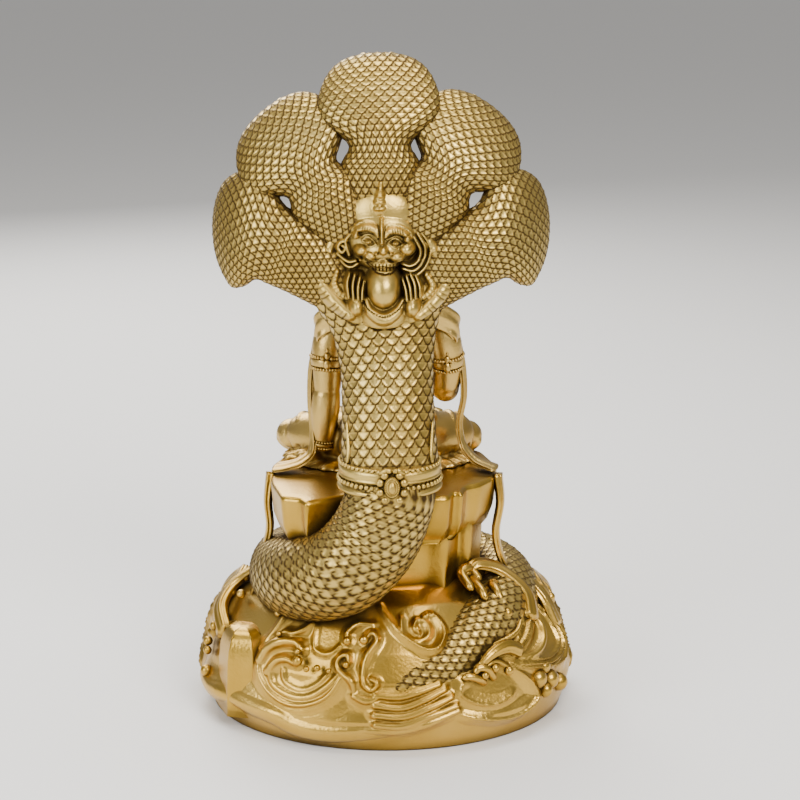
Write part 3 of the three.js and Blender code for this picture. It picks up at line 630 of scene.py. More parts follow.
freeCrests = [
    ([[150, 38, 3], [158, 45, 5], [160, 51, 6], [151, 54.5, 5], [141, 53, 4]], 4.2),
    ([[138, 31, 2], [131, 34, 4], [124, 33, 4.6], [119, 29.5, 3.4]], 3.0),
    ([[20, 30, 0], [8, 36, 3], [-1, 42, 4], [-4, 48, 4], [4, 50, 4]], 4.4),
    ([[170, 30, 1], [171, 40, 3.4], [175, 46, 4], [183, 47, 4], [188, 43, 3]], 4.2),
    ([[-12, 28, 1], [-18, 36, 4], [-14, 43, 4.5], [-6, 43, 4], [-5, 38, 3]], 4.0),
    ([[-44, 28, 1], [-50, 36, 3.6], [-46, 43, 4], [-38, 43, 4], [-37, 38, 3]], 4.4),
    ([[-86, 25, 1], [-84, 33, 3], [-90, 39, 3.6], [-97, 37, 3.4], [-97, 32, 3]], 3.8),
    ([[-138, 29, 1], [-134, 37, 3.6], [-139, 43, 4], [-147, 42, 4], [-148, 37, 3]], 4.4),
    ([[-167, 30, 1], [-164, 37, 3.6], [-170, 43, 4], [-178, 42, 4], [-178, 37, 3]], 4.0),
]
drops = [
    # angle, height, how far out, radius
    (61.4, 31.8, 3.4, 1.9), (64.6, 29.6, 2.6, 1.2), (60.4, 34.6, 3.2, 1.2), (68, 30.4, 2.4, 1.3),
    (71.8, 29.9, 2, 1),
    (76.2, 39.4, 2.4, 1.7), (82, 40, 2.6, 1.8), (44, 43.6, 2.4, 1.5), (50.4, 38.4, 3, 1.1),
    (77, 32.4, 2, 1.3),
    (139.3, 42.6, 4, 2.2), (172, 45.6, 4, 2.4), (-178, 45, 4, 2), (101, 43, 2, 1.2),
    (120.4, 26.8, 3, 1.6), (124.6, 28.4, 3, 1.8), (129.4, 26.4, 3, 1.8),
    (11.7, 30.6, 2.6, 2.0), (12.8, 25.2, 2.8, 1.9), (15, 22.4, 2.8, 1.7), (18, 15.6, 2.4, 2.4),
    (144, 19, 0.2, 3.8), (151, 16.4, 0, 3.8), (157, 13, 0, 3.6), (148, 22.4, 0.6, 3.0), (147, 13.6, 0.2, 3.0),
    (-2, 45, 3.4, 2.0), (2, 40, 3, 2.4), (13.8, 43, 3, 1.8),
]
# The claws of foam at the tall wave's tip: short fingers that bend down, from root to tip.
foamClaws = [
    ([[160, 52, 1], [152, 54, 3], [146.5, 53.2, 4], [143.5, 51, 4]], 2.0),
    ([[151, 53, 2], [142, 55, 4], [136, 53, 5], [132.5, 49.8, 4]], 1.9),
    ([[146, 51, 2], [139.6, 51.6, 4], [136, 49.4, 4.6], [134.6, 46.8, 4]], 1.7),
    ([[152, 49, 2], [146.4, 49.8, 4.4], [142.6, 48, 5], [141, 45.4, 4.4]], 1.7),
    ([[122, 23, 0], [118.4, 25.8, 2.6], [115.4, 27.2, 3], [112.8, 27, 2.4]], 1.4),
    ([[125, 24, 1], [121.4, 28.6, 3.6], [118.6, 29.4, 3.8], [116.8, 27.6, 3.2]], 1.4),
]


# Everything of the water that stands free: arms, drops and claws of foam.
def waterCurls():
    made = [part for way, wide in freeCrests for part in crest(way, wide)]
    made += [ball(onMound((angle, height, out)), radius) for angle, height, out, radius in drops]
    for way, wide in foamClaws:
        spine = onMound(np.asarray(way, float))
        side = lambda at, ahead: np.cross(at - [0, 0, base["foot"]], ahead)
        made.append(tube(spine, [wide * k for k in (1, 1.05, 1, 0.8)], None, side, cols=16, rows=22,
                         cap=0.16))
    return made


piece("waveMound", [moundSurface()], plinthBrass, "wave_plinth")
piece("waterCurls", waterCurls(), plinthBrass, "wave_plinth")
print("water made")


# A block on an outline of points: rings of the outline drawn in by an inset at each height, its
# corners eased by averaging neighbours.
def block(outline, profile, ease=3, count=260):
    corners = np.vstack([outline, outline[:1]]).astype(float)
    length = np.concatenate([[0], np.cumsum(np.linalg.norm(np.diff(corners, axis=0), axis=1))])
    at = np.linspace(0, length[-1], count, endpoint=False)
    ring = np.stack([np.interp(at, length, corners[:, i]) for i in (0, 1)], 1)
    for _ in range(ease):
        ring = (np.roll(ring, 1, axis=0) + 2 * ring + np.roll(ring, -1, axis=0)) / 4
    ahead = unit(np.roll(ring, -3, axis=0) - np.roll(ring, 3, axis=0))
    turn = 1 if np.cross(ring, np.roll(ring, -1, axis=0)).sum() > 0 else -1
    inward = turn * np.stack([-ahead[:, 1], ahead[:, 0]], 1)
    middle = ring.mean(0)
    rings = []
    for height, inset in profile:
        flat = ring + inset * inward if inset < 8 else middle + (ring - middle) * (1 - (inset - 8) / 30)
        rings.append(np.column_stack([flat, np.full(count, float(height))]))
    return shell(np.array(rings))


# The upright boulder at the left of the back, eased towards its top.
def boulder():
    outline = [[44, 21], [61, 15.5], [65, 26], [60.5, 37.5], [50, 39.5], [44, 34]]
    profile = [(5, 20), (5, 0), (12, 0.2), (26, 0.8), (31, 1.4), (34.4, 2.4), (36.6, 3.8), (37.8, 24),
               (38.2, 32)]
    return block(outline, profile, ease=3, count=160)


seat = {"top": 91.0, "under": 71.0, "round": 1.8}
slabOutline = [[16, 31], [30, 40], [32, 35], [39, 33], [44, 14], [45, -8], [39, -26], [27, -37], [9, -42],
               [-10, -42], [-27, -37], [-38, -26], [-43, -8], [-41, 8], [-35, 17], [-30, 20], [-28, 29],
               [-25, 27], [-23, 33], [-14, 34]]
shaftOutline = [[14, 28], [30, 26], [37, 8], [37, -16], [26, -31], [0, -36], [-24, -31], [-36, -14],
                [-36, 6], [-31, 17], [-27, 15], [-22, 25], [-15, 22]]


# The seat: a slab with a round upper edge and a sloping lower one, on a shaft.
def rock():
    r, top, under = seat["round"], seat["top"], seat["under"]
    edge = [(top - r + r * np.sin(a), r - r * np.cos(a)) for a in np.linspace(0, np.pi / 2, 6)]
    foot = [(under, 24), (under, 12), (under, 5), (under + 3, 2.6), (under + 8, 0.8)]
    slab = block(slabOutline, foot + edge + [(top, 12), (top, 20), (top, 30)])
    shaft = block(shaftOutline, [(30, 20), (30, 0), (44, 0.4), (58, 0), (70, -0.6), (85, -0.6), (85, 20)])
    return [slab, shaft, boulder()]


piece("rockSeat", rock(), rockBrass, "wave_plinth")


# The scarf's two ends that hang below the seat's rim.
def hangingScarf():
    left = tube([[44.6, 1, 90.7], [45.9, 4, 80], [45.2, 6, 70], [47.5, 7, 60], [50, 7, 50], [52, 7, 42]],
                [2, 1.6, 1.5, 1.5, 1.6, 1.8], [4.2, 3.8, 2.8, 2.4, 2.6, 3], flutes=5, depth=0.12, cols=40)
    right = tube([[-42.4, 3, 90.7], [-43.6, 5, 80], [-42, 6, 68], [-44, 6, 58], [-48, 6, 50], [-52, 6, 42]],
                 [2, 1.6, 1.5, 1.5, 1.6, 1.8], [4.2, 3.8, 2.8, 2.4, 2.6, 3], flutes=5, depth=0.12, cols=40)
    return [left, right]


piece("hangingScarf", hangingScarf(), plinthBrass, "wave_plinth")
print("rock and scarf made")


# The lion mask is a relief over a round field: its height over the hood is the greatest of its forms,
# plus the finest lines. Numbers are x to the picture's left and z, in mm, widths and rises in mm.
maskValues = {"x": 1.5, "z": 181.5, "rings": 100, "spokes": 304, "sunk": 0.9}
maskForms = [
    # way, half widths, rises, ribs as pitch and depth
    ([[2.2, 207], [2.4, 203.4], [2.7, 199.6], [2.6, 196.6]], [0.5, 1.6, 3.0, 3.4], [3.4, 4.4, 5, 5],
     (2.3, 0.1)),
    ([[20.5, 184.4], [23.2, 178.6], [25, 173.8], [24.2, 169.4], [20.5, 165.4], [16.7, 162.2], [13.4, 160]],
     [2.4, 3.2, 3.4, 3.4, 3.3, 3.2, 2.8], [4, 5, 5.4, 5.6, 5.8, 6, 6.4], None),
    ([[-15.4, 185], [-19.2, 179.4], [-22.5, 174.2], [-22.1, 169.8], [-18.8, 165.4], [-15.4, 162.2],
      [-11.6, 159.8]],
     [2.4, 3.2, 3.4, 3.4, 3.3, 3.2, 2.8], [4, 5, 5.4, 5.6, 5.8, 6, 6.4], None),
    ([[18.2, 174.6], [19.4, 170.2], [17.6, 167], [14.6, 165.6]], [1.6, 2.2, 2.2, 1.6], 4.6, (1.5, 0.07)),
    ([[-14.4, 173.6], [-16.7, 169.6], [-15.2, 166.6], [-12, 165.2]], [1.6, 2.2, 2.2, 1.6], 4.6, (1.5, 0.07)),
    ([[14.4, 186.2], [16.9, 185.2], [17.7, 183.2], [16.1, 181.8], [15, 183.4], [16.1, 184.2]],
     [1.2, 1.3, 1.3, 1.1, 0.9, 0.8], [4.6, 5, 5, 5, 5.2, 5.4], None),
    ([[13.4, 188], [14.9, 186.2], [14.4, 183.4], [13.6, 181]], 1.0, [4.4, 5, 5.2, 5], None),
    ([[18, 181], [15.5, 179.4], [13.6, 178.6], [11.2, 179.2]], 0.9, [4, 5, 5.4, 5.6], None),
    ([[16.6, 178.6], [14.4, 177], [12.4, 177], [10.6, 178.2]], 0.9, [4, 5, 5.4, 5.6], None),
    ([[-9.9, 187], [-12, 182.6], [-11.1, 179], [-8.4, 177.4], [-5.4, 178.4]], 0.95, [4.6, 5.4, 5.8, 6, 6],
     None),
    ([[-11, 188.6], [-13.7, 183.4], [-12.8, 178.6], [-9.6, 175.6], [-5.9, 176.4]], 0.95,
     [4, 5, 5.4, 5.6, 5.6], None),
    ([[-12, 189.4], [-15.6, 183.4], [-14.6, 177.8], [-11.1, 174.2], [-7, 174.2]], 0.95,
     [3.4, 4.4, 4.8, 5, 5], None),
    ([[7.5, 165.8], [5.9, 161.8], [1.2, 159.2], [-3.4, 161.6], [-5.8, 165.6]], [1.4, 2.7, 3.3, 2.7, 1.4],
     [7, 8.4, 9, 8.4, 7], None),
    ([[13.5, 174.6], [14.3, 171.4], [13.7, 166.4]], [0.7, 1.0, 1.1], [6, 7.6, 8], None),
    ([[11.6, 174.2], [12.3, 170.6], [12, 166]], [0.7, 1.0, 1.1], [6.4, 8, 8.4], None),
    ([[9.7, 173.6], [10.4, 170.2], [10.3, 166]], [0.7, 1.0, 1.1], [6.6, 8.2, 8.6], None),
    ([[8.2, 172.4], [8.8, 169.4], [8.9, 165.6]], [0.6, 0.9, 1.0], [6.6, 8, 8.4], None),
    ([[-5.6, 173], [-6.7, 169.4], [-7.2, 165.6]], [0.6, 0.9, 1.0], [6.6, 8, 8.4], None),
    ([[-7, 174], [-8.2, 170.2], [-8.7, 166]], [0.7, 1.0, 1.1], [6.6, 8.2, 8.6], None),
    ([[-8.4, 174.6], [-9.9, 171], [-10.3, 166.4]], [0.7, 1.0, 1.1], [6.4, 8, 8.4], None),
    ([[-10.2, 174], [-11.6, 170.6], [-11.9, 166.6]], [0.6, 0.9, 1.0], [6, 7.4, 7.8], None),
    # Brow plates with their rolled ends, and the stem between them.
    ([[3.2, 188.6], [4.2, 190.6], [7, 191.4], [10.4, 190.6]], [1.4, 1.9, 1.9, 1.5], [9, 9.2, 8.6, 7.4], None),
    ([[0.6, 188.4], [-0.8, 190.2], [-3.6, 190.2], [-6.8, 188.8]], [1.4, 1.9, 1.9, 1.5], [9, 9.2, 8.6, 7.4],
     None),
    ([[1.9, 194.4], [1.9, 191], [1.8, 186.4]], [0.9, 1.2, 1.4], [7.6, 9.4, 10], None),
]
# Domes of the mask: x, z, half width, half height, rise and power.
maskDomes = [
    (1.8, 186, 13.5, 11, 6.2, 0.5), (1.6, 195, 12, 9, 3.6, 0.6), (1.3, 169.8, 7.1, 8.7, 10.2, 0.5),
    (1.5, 183, 9.4, 5.4, 8.6, 0.5), (9.2, 183.2, 3.4, 2.8, 8.8, 0.5), (-7, 183.6, 3.8, 3.4, 9.2, 0.5),
    (6, 181.6, 3.8, 2.5, 9.8, 0.5), (-3.4, 181.2, 4, 2.6, 9.8, 0.5), (1.3, 183.6, 2.7, 2.6, 11.6, 0.5),
    (3.8, 182.6, 1.2, 1.1, 10.8, 0.5), (-1.4, 182.6, 1.2, 1.1, 10.8, 0.5), (1.3, 178.4, 6.2, 2.6, 8.6, 0.5),
    (11, 163.4, 3.5, 4.6, 8.6, 0.5), (-9.2, 163.2, 3.6, 4.8, 8.6, 0.5), (9.6, 180, 0.9, 0.9, 8.2, 0.5),
    (6.6, 186.5, 2.0, 1.5, 8.4, 0.5), (-3, 186, 2.0, 1.5, 8.4, 0.5), (11, 188.6, 1.7, 1.7, 8.6, 0.5),
    (-7.2, 187.4, 1.7, 1.7, 8.6, 0.5), (2.6, 199, 1.4, 0.9, 6, 0.5),
]
# Fine raised lines, then cut lines: way, half width, rise or depth.
maskLines = [
    ([[8.9, 186.8], [6.7, 188.1], [3.9, 185.9]], 0.36, 0.6),
    ([[8.9, 186.6], [6.5, 184.8], [3.9, 185.7]], 0.34, 0.5),
    ([[-0.3, 186.3], [-3, 187.6], [-5.4, 185.8]], 0.36, 0.6),
    ([[-0.3, 186.1], [-3, 184.3], [-5.4, 185.6]], 0.34, 0.5),
    ([[3.1, 189.4], [3.7, 192.2], [6.4, 193.2], [9.4, 193], [12, 191.2], [12.6, 188.8], [10.9, 187.4]],
     0.4, 0.7),
    ([[0.8, 189.4], [0.2, 191.8], [-2.6, 192.3], [-6.1, 191.2], [-8.6, 189.2], [-8.8, 186.8],
      [-7.1, 185.8]], 0.4, 0.7),
    ([[11.9, 187], [9.4, 187.9], [7, 189], [5.1, 188.6], [3.2, 187], [1.4, 186.6]], 0.36, 0.6),
    ([[1.4, 186.6], [-1.1, 187.7], [-3, 188.4], [-4.9, 187.8], [-6.3, 186.6], [-8.2, 186]], 0.36, 0.6),
    ([[7.4, 181.6], [4.3, 179.6], [1.4, 180.4], [-1.6, 178.9], [-5.3, 179.8]], 0.5, 0.9),
    ([[21.9, 182.4], [19.3, 180.8], [17.4, 178.8]], 0.5, 0.7),
    ([[-11.9, 178.8], [-15, 181], [-17.4, 182.4]], 0.5, 0.7),
    ([[26.6, 179.6], [23, 178.4], [20, 176.6]], 0.5, 0.7),
    ([[-15.6, 176.8], [-19, 178.4], [-22.6, 179.4]], 0.5, 0.7),
    ([[28, 174.6], [25, 174], [21.4, 173.2]], 0.6, 0.8),
    ([[-18.6, 173.2], [-22, 174.2], [-25.4, 174.8]], 0.6, 0.8),
    ([[27.6, 171.6], [24.6, 171.4], [21.4, 171.4]], 0.6, 0.8),
    ([[-18.8, 171], [-22, 171.6], [-25, 172]], 0.6, 0.8),
    ([[6.8, 170.4], [6.4, 165.4], [1.2, 161.9], [-4, 165.2], [-4.4, 170.4]], 0.36, 0.35),
    ([[11.7, 190], [10.2, 189.7], [9.8, 188.4], [10.9, 187.6], [11.9, 188.5], [11.1, 189.1]], 0.3, 0.5),
    ([[-8, 188.8], [-6.6, 188.8], [-6, 187.6], [-6.9, 186.6], [-8.1, 187.2], [-7.5, 187.9]], 0.3, 0.5),
]
maskCuts = [
    ([[7.6, 179.4], [4.3, 177.6], [1.4, 177.9], [-1.8, 177.2], [-5.4, 178.4]], 0.3, 0.5),
    ([[7.2, 178.3], [4.3, 175.9], [1.5, 175.1], [-1.9, 175.4], [-5.1, 177.6]], 0.36, 0.9),
    ([[8.6, 165.6], [6.4, 162.6], [1.2, 160.2], [-3.8, 162.4], [-6.2, 165.4]], 0.34, 0.9),
    *[([[x, 178.6], [x * 0.96, 176.2]], 0.2, 0.5) for x in (5.4, 4.1, 2.8, 1.5, 0.2, -1.1, -2.4, -3.6)],
    *[([[-2 - 0.9 * k, 191.2 - 0.16 * k], [-2.2 - 0.9 * k, 189.8 - 0.16 * k]], 0.18, 0.4) for k in range(5)],
    *[([[6 + 0.9 * k, 192 - 0.1 * k], [6.1 + 0.9 * k, 190.9 - 0.1 * k]], 0.18, 0.3) for k in range(4)],
    *[([[28 * np.cos(a) + 1.5, 28 * np.sin(a) + 181.5],
        [24.6 * np.cos(a) + 1.5, 24.6 * np.sin(a) + 181.5]], 0.24, 0.4)
      for a in np.radians([*range(-58, -26, 4), *range(-154, -122, 4)])],
]


# The mask's grid runs out from its middle: x and z are shares of a reach that depends on the angle,
# and y is the hood's back plus the height of the forms there.
def lionMask():
    v = maskValues
    a = np.linspace(0, 2 * np.pi, v["spokes"], endpoint=False)
    reachAt = np.radians([-200, -180, -160, -146, -130, -118, -90, -62, -50, -34, -20, 0, 45, 90, 135, 180])
    reach = np.interp(np.where(a > np.pi, a - 2 * np.pi, a), reachAt,
                      [24, 24.5, 28, 28.8, 27.6, 27, 26.2, 27, 27.8, 28.8, 27.8, 24.5, 24, 26, 24, 24.5])
    reach = np.convolve(np.concatenate([reach[-6:], reach, reach[:6]]), np.ones(13) / 13, "valid")
    share = np.linspace(0, 1, v["rings"] + 1)[1:, None] ** 0.85
    x = v["x"] + share * reach * np.cos(a)
    z = v["z"] + share * reach * np.sin(a)
    flat = np.stack([x.ravel(), 0 * x.ravel(), z.ravel()], 1)
    toCamera = lambda p: np.array([0.0, 1.0, 0.0])

    def drawn(way, count=60):
        line = smoothThrough(way, np.linspace(0, 1, count))
        return np.stack([line[:, 0], 0 * line[:, 0], line[:, 1]], 1)

    lift = np.zeros(len(flat))
    for way, wide, rise, ribs in maskForms:
        raiseStrand(flat, lift, drawn(way), wide, rise, toCamera, ribs=ribs, skirt=skirtShare["mask"])
    for cx, cz, rx, rz, rise, power in maskDomes:
        inside = np.clip(1 - ((flat[:, 0] - cx) / rx) ** 2 - ((flat[:, 2] - cz) / rz) ** 2, 0, 1)
        lift = np.maximum(lift, rise * inside ** power)
    for cx, cz in ((6.6, 186.5), (-3, 186)):
        d = np.hypot(flat[:, 0] - cx, flat[:, 2] - cz)
        lift += 0.5 * np.exp(-((d - 0.95) / 0.22) ** 2) + 0.5 * np.exp(-(d / 0.4) ** 2)
    raised, cut = np.zeros(len(flat)), np.zeros(len(flat))
    for way, wide, rise in maskLines:
        raiseStrand(flat, raised, drawn(way, 40), wide, rise, toCamera)
    for way, wide, deep in maskCuts:
        raiseStrand(flat, cut, drawn(way, 24), wide, deep, toCamera)
    # The material darkens the cut lines through this mark: patina in the cuts plus painted shade.
    groove = np.clip(cut / 0.5, 0, 1)
    ground = np.interp(z, [153, 160, 166, 180, 200, 210],
                       [33.5, 31.5, 29.8, 27.5, 27, 27]) - 0.012 * (x - 1.5) ** 2
    y = ground - v["sunk"] + (lift + raised * (lift > 0.6) - cut * (lift > 0.6)).reshape(x.shape)
    front = np.stack([x, y, z], -1)
    back = [np.stack([v["x"] + (x[-1] - v["x"]) * k, np.full(len(a), deep), v["z"] + (z[-1] - v["z"]) * k],
                     -1)
            for k, deep in ((0.94, 21.0), (0.7, 18.0), (0.3, 17.0))]
    mark = np.concatenate([groove.reshape(x.shape), np.zeros((3, len(a)))])
    return shell(np.concatenate([front, back]), groove=mark)


piece("lionMask", [lionMask()], hoodBrass, "naga_hood")
print("mask made")


# The belt over the joint: a hoop whose radius follows a profile, with rows of beads and a clasp.
beltValues = {"x": -1.0, "y": 37.0, "wide": 17.7, "deep": 15.2, "beads": 54}


# A point of the belt: its ellipse widened by out, at an angle and a height.
def beltPoint(angle, height, out):
    v = beltValues
    return np.stack([v["x"] + (v["wide"] + out) * np.sin(angle), v["y"] + (v["deep"] + out) * np.cos(angle),
                     np.broadcast_to(height, np.shape(angle))], -1)


# The hoop, its two rows of beads, and the clasp: an oval boss in a ring of petals.
def jewelledBelt():
    profile = [(96.35, -6), (96.35, 0.6), (96.7, 1.3), (97.6, 1.7), (98.5, 1.4), (98.9, 0.6), (99.2, 0.4),
               (101.6, 0.4),
               (101.9, 0.6), (102.1, 1.1), (102.6, 1.2), (102.9, 0.8), (103.4, 1.0), (105, 1.1), (106, 0.8),
               (106.3, 0.2), (106.9, 0.5), (107.2, 0.2), (107.3, -1), (106.6, -6)]
    angles = np.linspace(0, 2 * np.pi, 150, endpoint=False)
    made = [shell(np.array([beltPoint(angles, height, out) for height, out in profile]))]
    turns = np.linspace(0, 2 * np.pi, beltValues["beads"], endpoint=False)
    made += [ball(beltPoint(a, 100.4, 0.9), (1.0, 0.8, 0.95), 5, 8) for a in turns]
    made += [ball(beltPoint(a, 106.7, 0.5), (0.9, 0.8, 0.75), 5, 8) for a in turns]
    x, y = beltValues["x"] - 0.8, beltValues["y"] + beltValues["deep"] + 1.2
    made += [ball((x, y + 1.0, 101.6), (3.0, 1.6, 4.0), 12, 20),
             ball((x, y + 2.3, 101.6), (1.45, 1.5, 2.5), 10, 16)]
    ring = np.linspace(0, 2 * np.pi, 26, endpoint=False)
    made += [ball((x + 2.3 * np.sin(a), y + 2.0, 101.6 + 3.3 * np.cos(a)), 0.42, 4, 6) for a in ring]
    for k, a in enumerate(np.radians([35, 70, 108, 145, 180, 215, 252, 290, 325])):
        made.append(ball((x + 4.5 * np.sin(a), y + 0.6, 101.2 + 5.6 * np.cos(a)), (1.5, 1.3, 1.5), 7, 12))
    for side in (-1, 1):
        made.append(tube([[x, y + 1, 107.4], [x + side * 2.4, y + 0.9, 107.7],
                          [x + side * 4.4, y + 0.3, 106.6],
                          [x + side * 5.4, y - 0.2, 107.6]], [0.9, 0.9, 0.7, 0.5], cols=12, rows=16,
                          cap=0.15))
        edge = [[beltValues["x"] + side * 15.3, 44.2, 107], [beltValues["x"] + side * 14.9, 43.4, 111],
                [beltValues["x"] + side * 15.1, 41.2, 116], [beltValues["x"] + side * 15.6, 38.6, 122]]
        made.append(tube(edge, [0.8, 0.75, 0.7, 0.4], cols=10, rows=20, cap=0.1))
    return made


piece("jewelledBelt", jewelledBelt(), hoodBrass, "naga_hood")
print("belt made")


# A head at the end of a neck: a flat snout that bends forwards and down, brows, eyes, nostrils and a
# lower jaw a little way open, with a tongue.
def nagaHead(root, aim, tip):
    root, aim, tip = (np.asarray(p, float) for p in (root, aim, tip))

    def place(t, y):
        x, z = (1 - t) ** 2 * root + 2 * t * (1 - t) * aim + t * t * tip
        return np.array([x, y, z])

    run = unit(2 * (1 - 0.9) * (aim - root) + 2 * 0.9 * (tip - aim))
    side = np.array([run[1], 0, -run[0]])
    over = np.array([run[0], 0, run[1]])
    snout = [place(0.93, 2), place(0.95, -6), place(0.93, -14), place(0.87, -21), place(0.79, -27),
             place(0.73, -31)]
    jaw = [place(0.8, -6), place(0.76, -13), place(0.69, -20), place(0.63, -26)]
    tongue = [place(0.76, -12), place(0.72, -20), place(0.66, -27), place(0.6, -30)]
    made = [
        tube(snout, [8, 9, 8.8, 7.2, 5.4, 3.2], [5, 6.2, 6.2, 5, 3.8, 2.4], side, cols=30, rows=36, cap=0.12),
        tube(jaw, [5.6, 6, 4.8, 2.8], [3.4, 2.8, 2, 1.4], side, cols=22, rows=24, cap=0.14),
        tube(tongue, [1.6, 1.5, 1.1, 0.5], [0.5, 0.5, 0.45, 0.4], side, cols=10, rows=16, cap=0.1),
    ]
    for way in (-1, 1):
        brow = [place(0.97, -8) + side * way * 3.6 + over * 3.2,
                place(0.96, -13) + side * way * 5.6 + over * 3.4,
                place(0.9, -18) + side * way * 5.6 + over * 2.4]
        made.append(tube(brow, [1.0, 1.5, 0.8], cols=12, rows=18, cap=0.2))
        made.append(ball(place(0.91, -14.4) + side * way * 6.2 + over * 1.6, 1.9, 10, 14))
        made.append(ball(place(0.9, -15) + side * way * 7.4 + over * 1.4, 0.8, 6, 10))
        made.append(ball(place(0.78, -28.6) + side * way * 2.4 + over * 1.2, (1.0, 1.1, 0.9), 6, 10))
        fang = [place(0.74, -27) + side * way * 2.6, place(0.69, -27.4) + side * way * 2.4]
        made.append(tube(fang, [0.8, 0.2], cols=8, rows=8))
    return made


heads = [part for values in neckValues.values() for part in nagaHead(*values[:3])]
for _, aim, tip, _, _ in neckValues.values():
    end = unit(np.subtract(tip, aim))
    nub = [[tip[0] + out * end[0], y, tip[1] + out * end[1]] for out, y in ((-4, 1), (0, -0.6), (2.4, -2))]
    heads.append(tube(nub, [2.6, 1.6, 0.7], cols=14, rows=14, cap=0.1))
piece("nagaHeads", heads, hoodBrass, "naga_hood")
print("heads made")

# Joins overlapping shells into one skin: Blender's voxel remesh, then a few rounds of smoothing. Gives
# the skin as a shell of quads, in mm.
def clay(shells, voxel, rounds):
    start, corners, faces = 0, [], []
    for made in shells:
        made = outward(made)
        corners.append(made["corners"])
        faces += (made["quads"] + start).tolist() + (made["tris"] + start).tolist()
        start += len(made["corners"])
    mesh = bpy.data.meshes.new("clay")
    mesh.from_pydata(np.vstack(corners).tolist(), [], faces)
    lump = bpy.data.objects.new("clay", mesh)
    bpy.context.collection.objects.link(lump)
    remesh = lump.modifiers.new("remesh", "REMESH")
    remesh.mode, remesh.voxel_size, remesh.adaptivity = "VOXEL", voxel, 0.0
    smooth = lump.modifiers.new("smooth", "SMOOTH")
    smooth.factor, smooth.iterations = 0.5, rounds
    skin = bpy.data.meshes.new_from_object(lump.evaluated_get(bpy.context.evaluated_depsgraph_get()))
    points = np.empty(3 * len(skin.vertices), np.float32)
    skin.vertices.foreach_get("co", points)
    loops = np.empty(len(skin.loops), np.int32)
    skin.loops.foreach_get("vertex_index", loops)
    bpy.data.objects.remove(lump)
    bpy.data.meshes.remove(mesh)
    bpy.data.meshes.remove(skin)
    return {"corners": points.reshape(-1, 3).astype(float), "quads": loops.reshape(-1, 4),
            "tris": np.empty((0, 3), int), "marks": {}}


# Outward way at each point of a shell: the sum of its faces' cross products.
def shellNormals(made):
    c, q = made["corners"], made["quads"]
    across = np.cross(c[q[:, 2]] - c[q[:, 0]], c[q[:, 3]] - c[q[:, 1]])
    total = np.zeros_like(c)
    for k in range(4):
        np.add.at(total, q[:, k], across)
    return unit(total)


# Points on a tube's surface from pairs of place and angle in degrees.
def onTube(values, way, count=40):
    spine, wide, thick, side = values
    pairs = smoothThrough(way, np.linspace(0, 1, count))
    grid = tubeGrid(spine, wide, thick, side, np.radians(pairs[:, 1]), pairs[:, 0])
    return grid[np.arange(count), np.arange(count)]


# The figure's limbs as tubes: spine, half widths, half thicknesses, side. On a limb that runs along X
# with its side up, 90 degrees is up, and the front is 180 when it runs to -X and 0 when it runs to +X.
limbs = {
    "thighLeft": ([[5, -4, 101], [17, -13, 100.5], [30, -22, 99.5], [37, -27, 98.4]],
                  [9.6, 10, 8.6, 6.4], [10, 10.4, 9.2, 6.8], (0, 0, 1)),
    "thighRight": ([[-5, -4, 101], [-15, -13, 100.5], [-25.5, -22, 99.5], [-31, -26.6, 98.4]],
                   [9.6, 10, 8.6, 6.4], [10, 10.4, 9.2, 6.8], (0, 0, 1)),
    "shinLeft": ([[37, -27, 98], [24, -34, 99], [8, -37.4, 100.4], [-7, -35, 102.6]],
                 [6.6, 6.8, 6.2, 4.6], [6.8, 6.6, 5.6, 4.0], (0, 0, 1)),
    "shinRight": ([[-31, -27, 97], [-18, -35, 96.6], [-2, -39, 95.8], [12, -38, 95]],
                  [5.6, 6, 5.4, 4.2], [6, 6.2, 5.4, 3.8], (0, 0, 1)),
    "upperArmLeft": ([[19.6, -6.5, 148], [22, -5.6, 140], [22.8, -4.6, 130], [23, -4, 121]],
                     [5.8, 6.6, 5.8, 5.2], [6, 6.6, 6, 5.4], (1, 0, 0)),
    "forearmLeft": ([[23, -4, 123], [23.8, -3.6, 114], [24.6, -3.2, 104], [25.4, -3.4, 97.6]],
                    [5.4, 5.6, 4.2, 3.6], [5.4, 5.4, 3.8, 3.0], (1, 0, 0)),
    "upperArmRight": ([[-19.6, -6.5, 148], [-22, -6.2, 140], [-23, -7.4, 130], [-22.6, -9.4, 121]],
                      [5.8, 6.6, 5.8, 5.4], [6, 6.6, 6, 5.6], (1, 0, 0)),
    "forearmRight": ([[-22.6, -9.4, 121.6], [-19, -17.4, 122.4], [-13.6, -23.6, 127.6], [-9.6, -27, 132.6]],
                     [5.4, 5.2, 4.2, 3.3], [5.4, 5.2, 4.0, 3.0], (0, 0, 1)),
    "torso": ([[0, -5, 94], [0, -5, 103], [0, -6, 117], [0, -7, 131], [0, -7.4, 141], [0, -7, 148],
               [0, -8, 154]],
              [19, 19, 14, 16, 18.6, 15, 7], [15, 14, 10.4, 11.4, 11.2, 8.6, 6], (1, 0, 0)),
    "neck": ([[0, -8.6, 150], [0, -9.4, 158], [0, -10.4, 166]], [6, 5.4, 5.4], [5.6, 5.2, 5.4], (1, 0, 0)),
    "footLeft": ([[-6, -35.4, 102.4], [-12, -33.6, 103.8], [-18, -31.4, 104.2], [-22.6, -29.8, 104]],
                 [3.2, 3.4, 3.6, 3.0], [4.2, 4.4, 4.2, 3.2], (0, 0, 1)),
    "footRight": ([[10, -38.4, 95], [16.4, -37.6, 94.8], [22, -36, 94.6], [27, -34.2, 94.2]],
                  [3.4, 3.2, 2.8, 2.2], [4.2, 4.6, 4.2, 3.2], (0, 0, 1)),
}
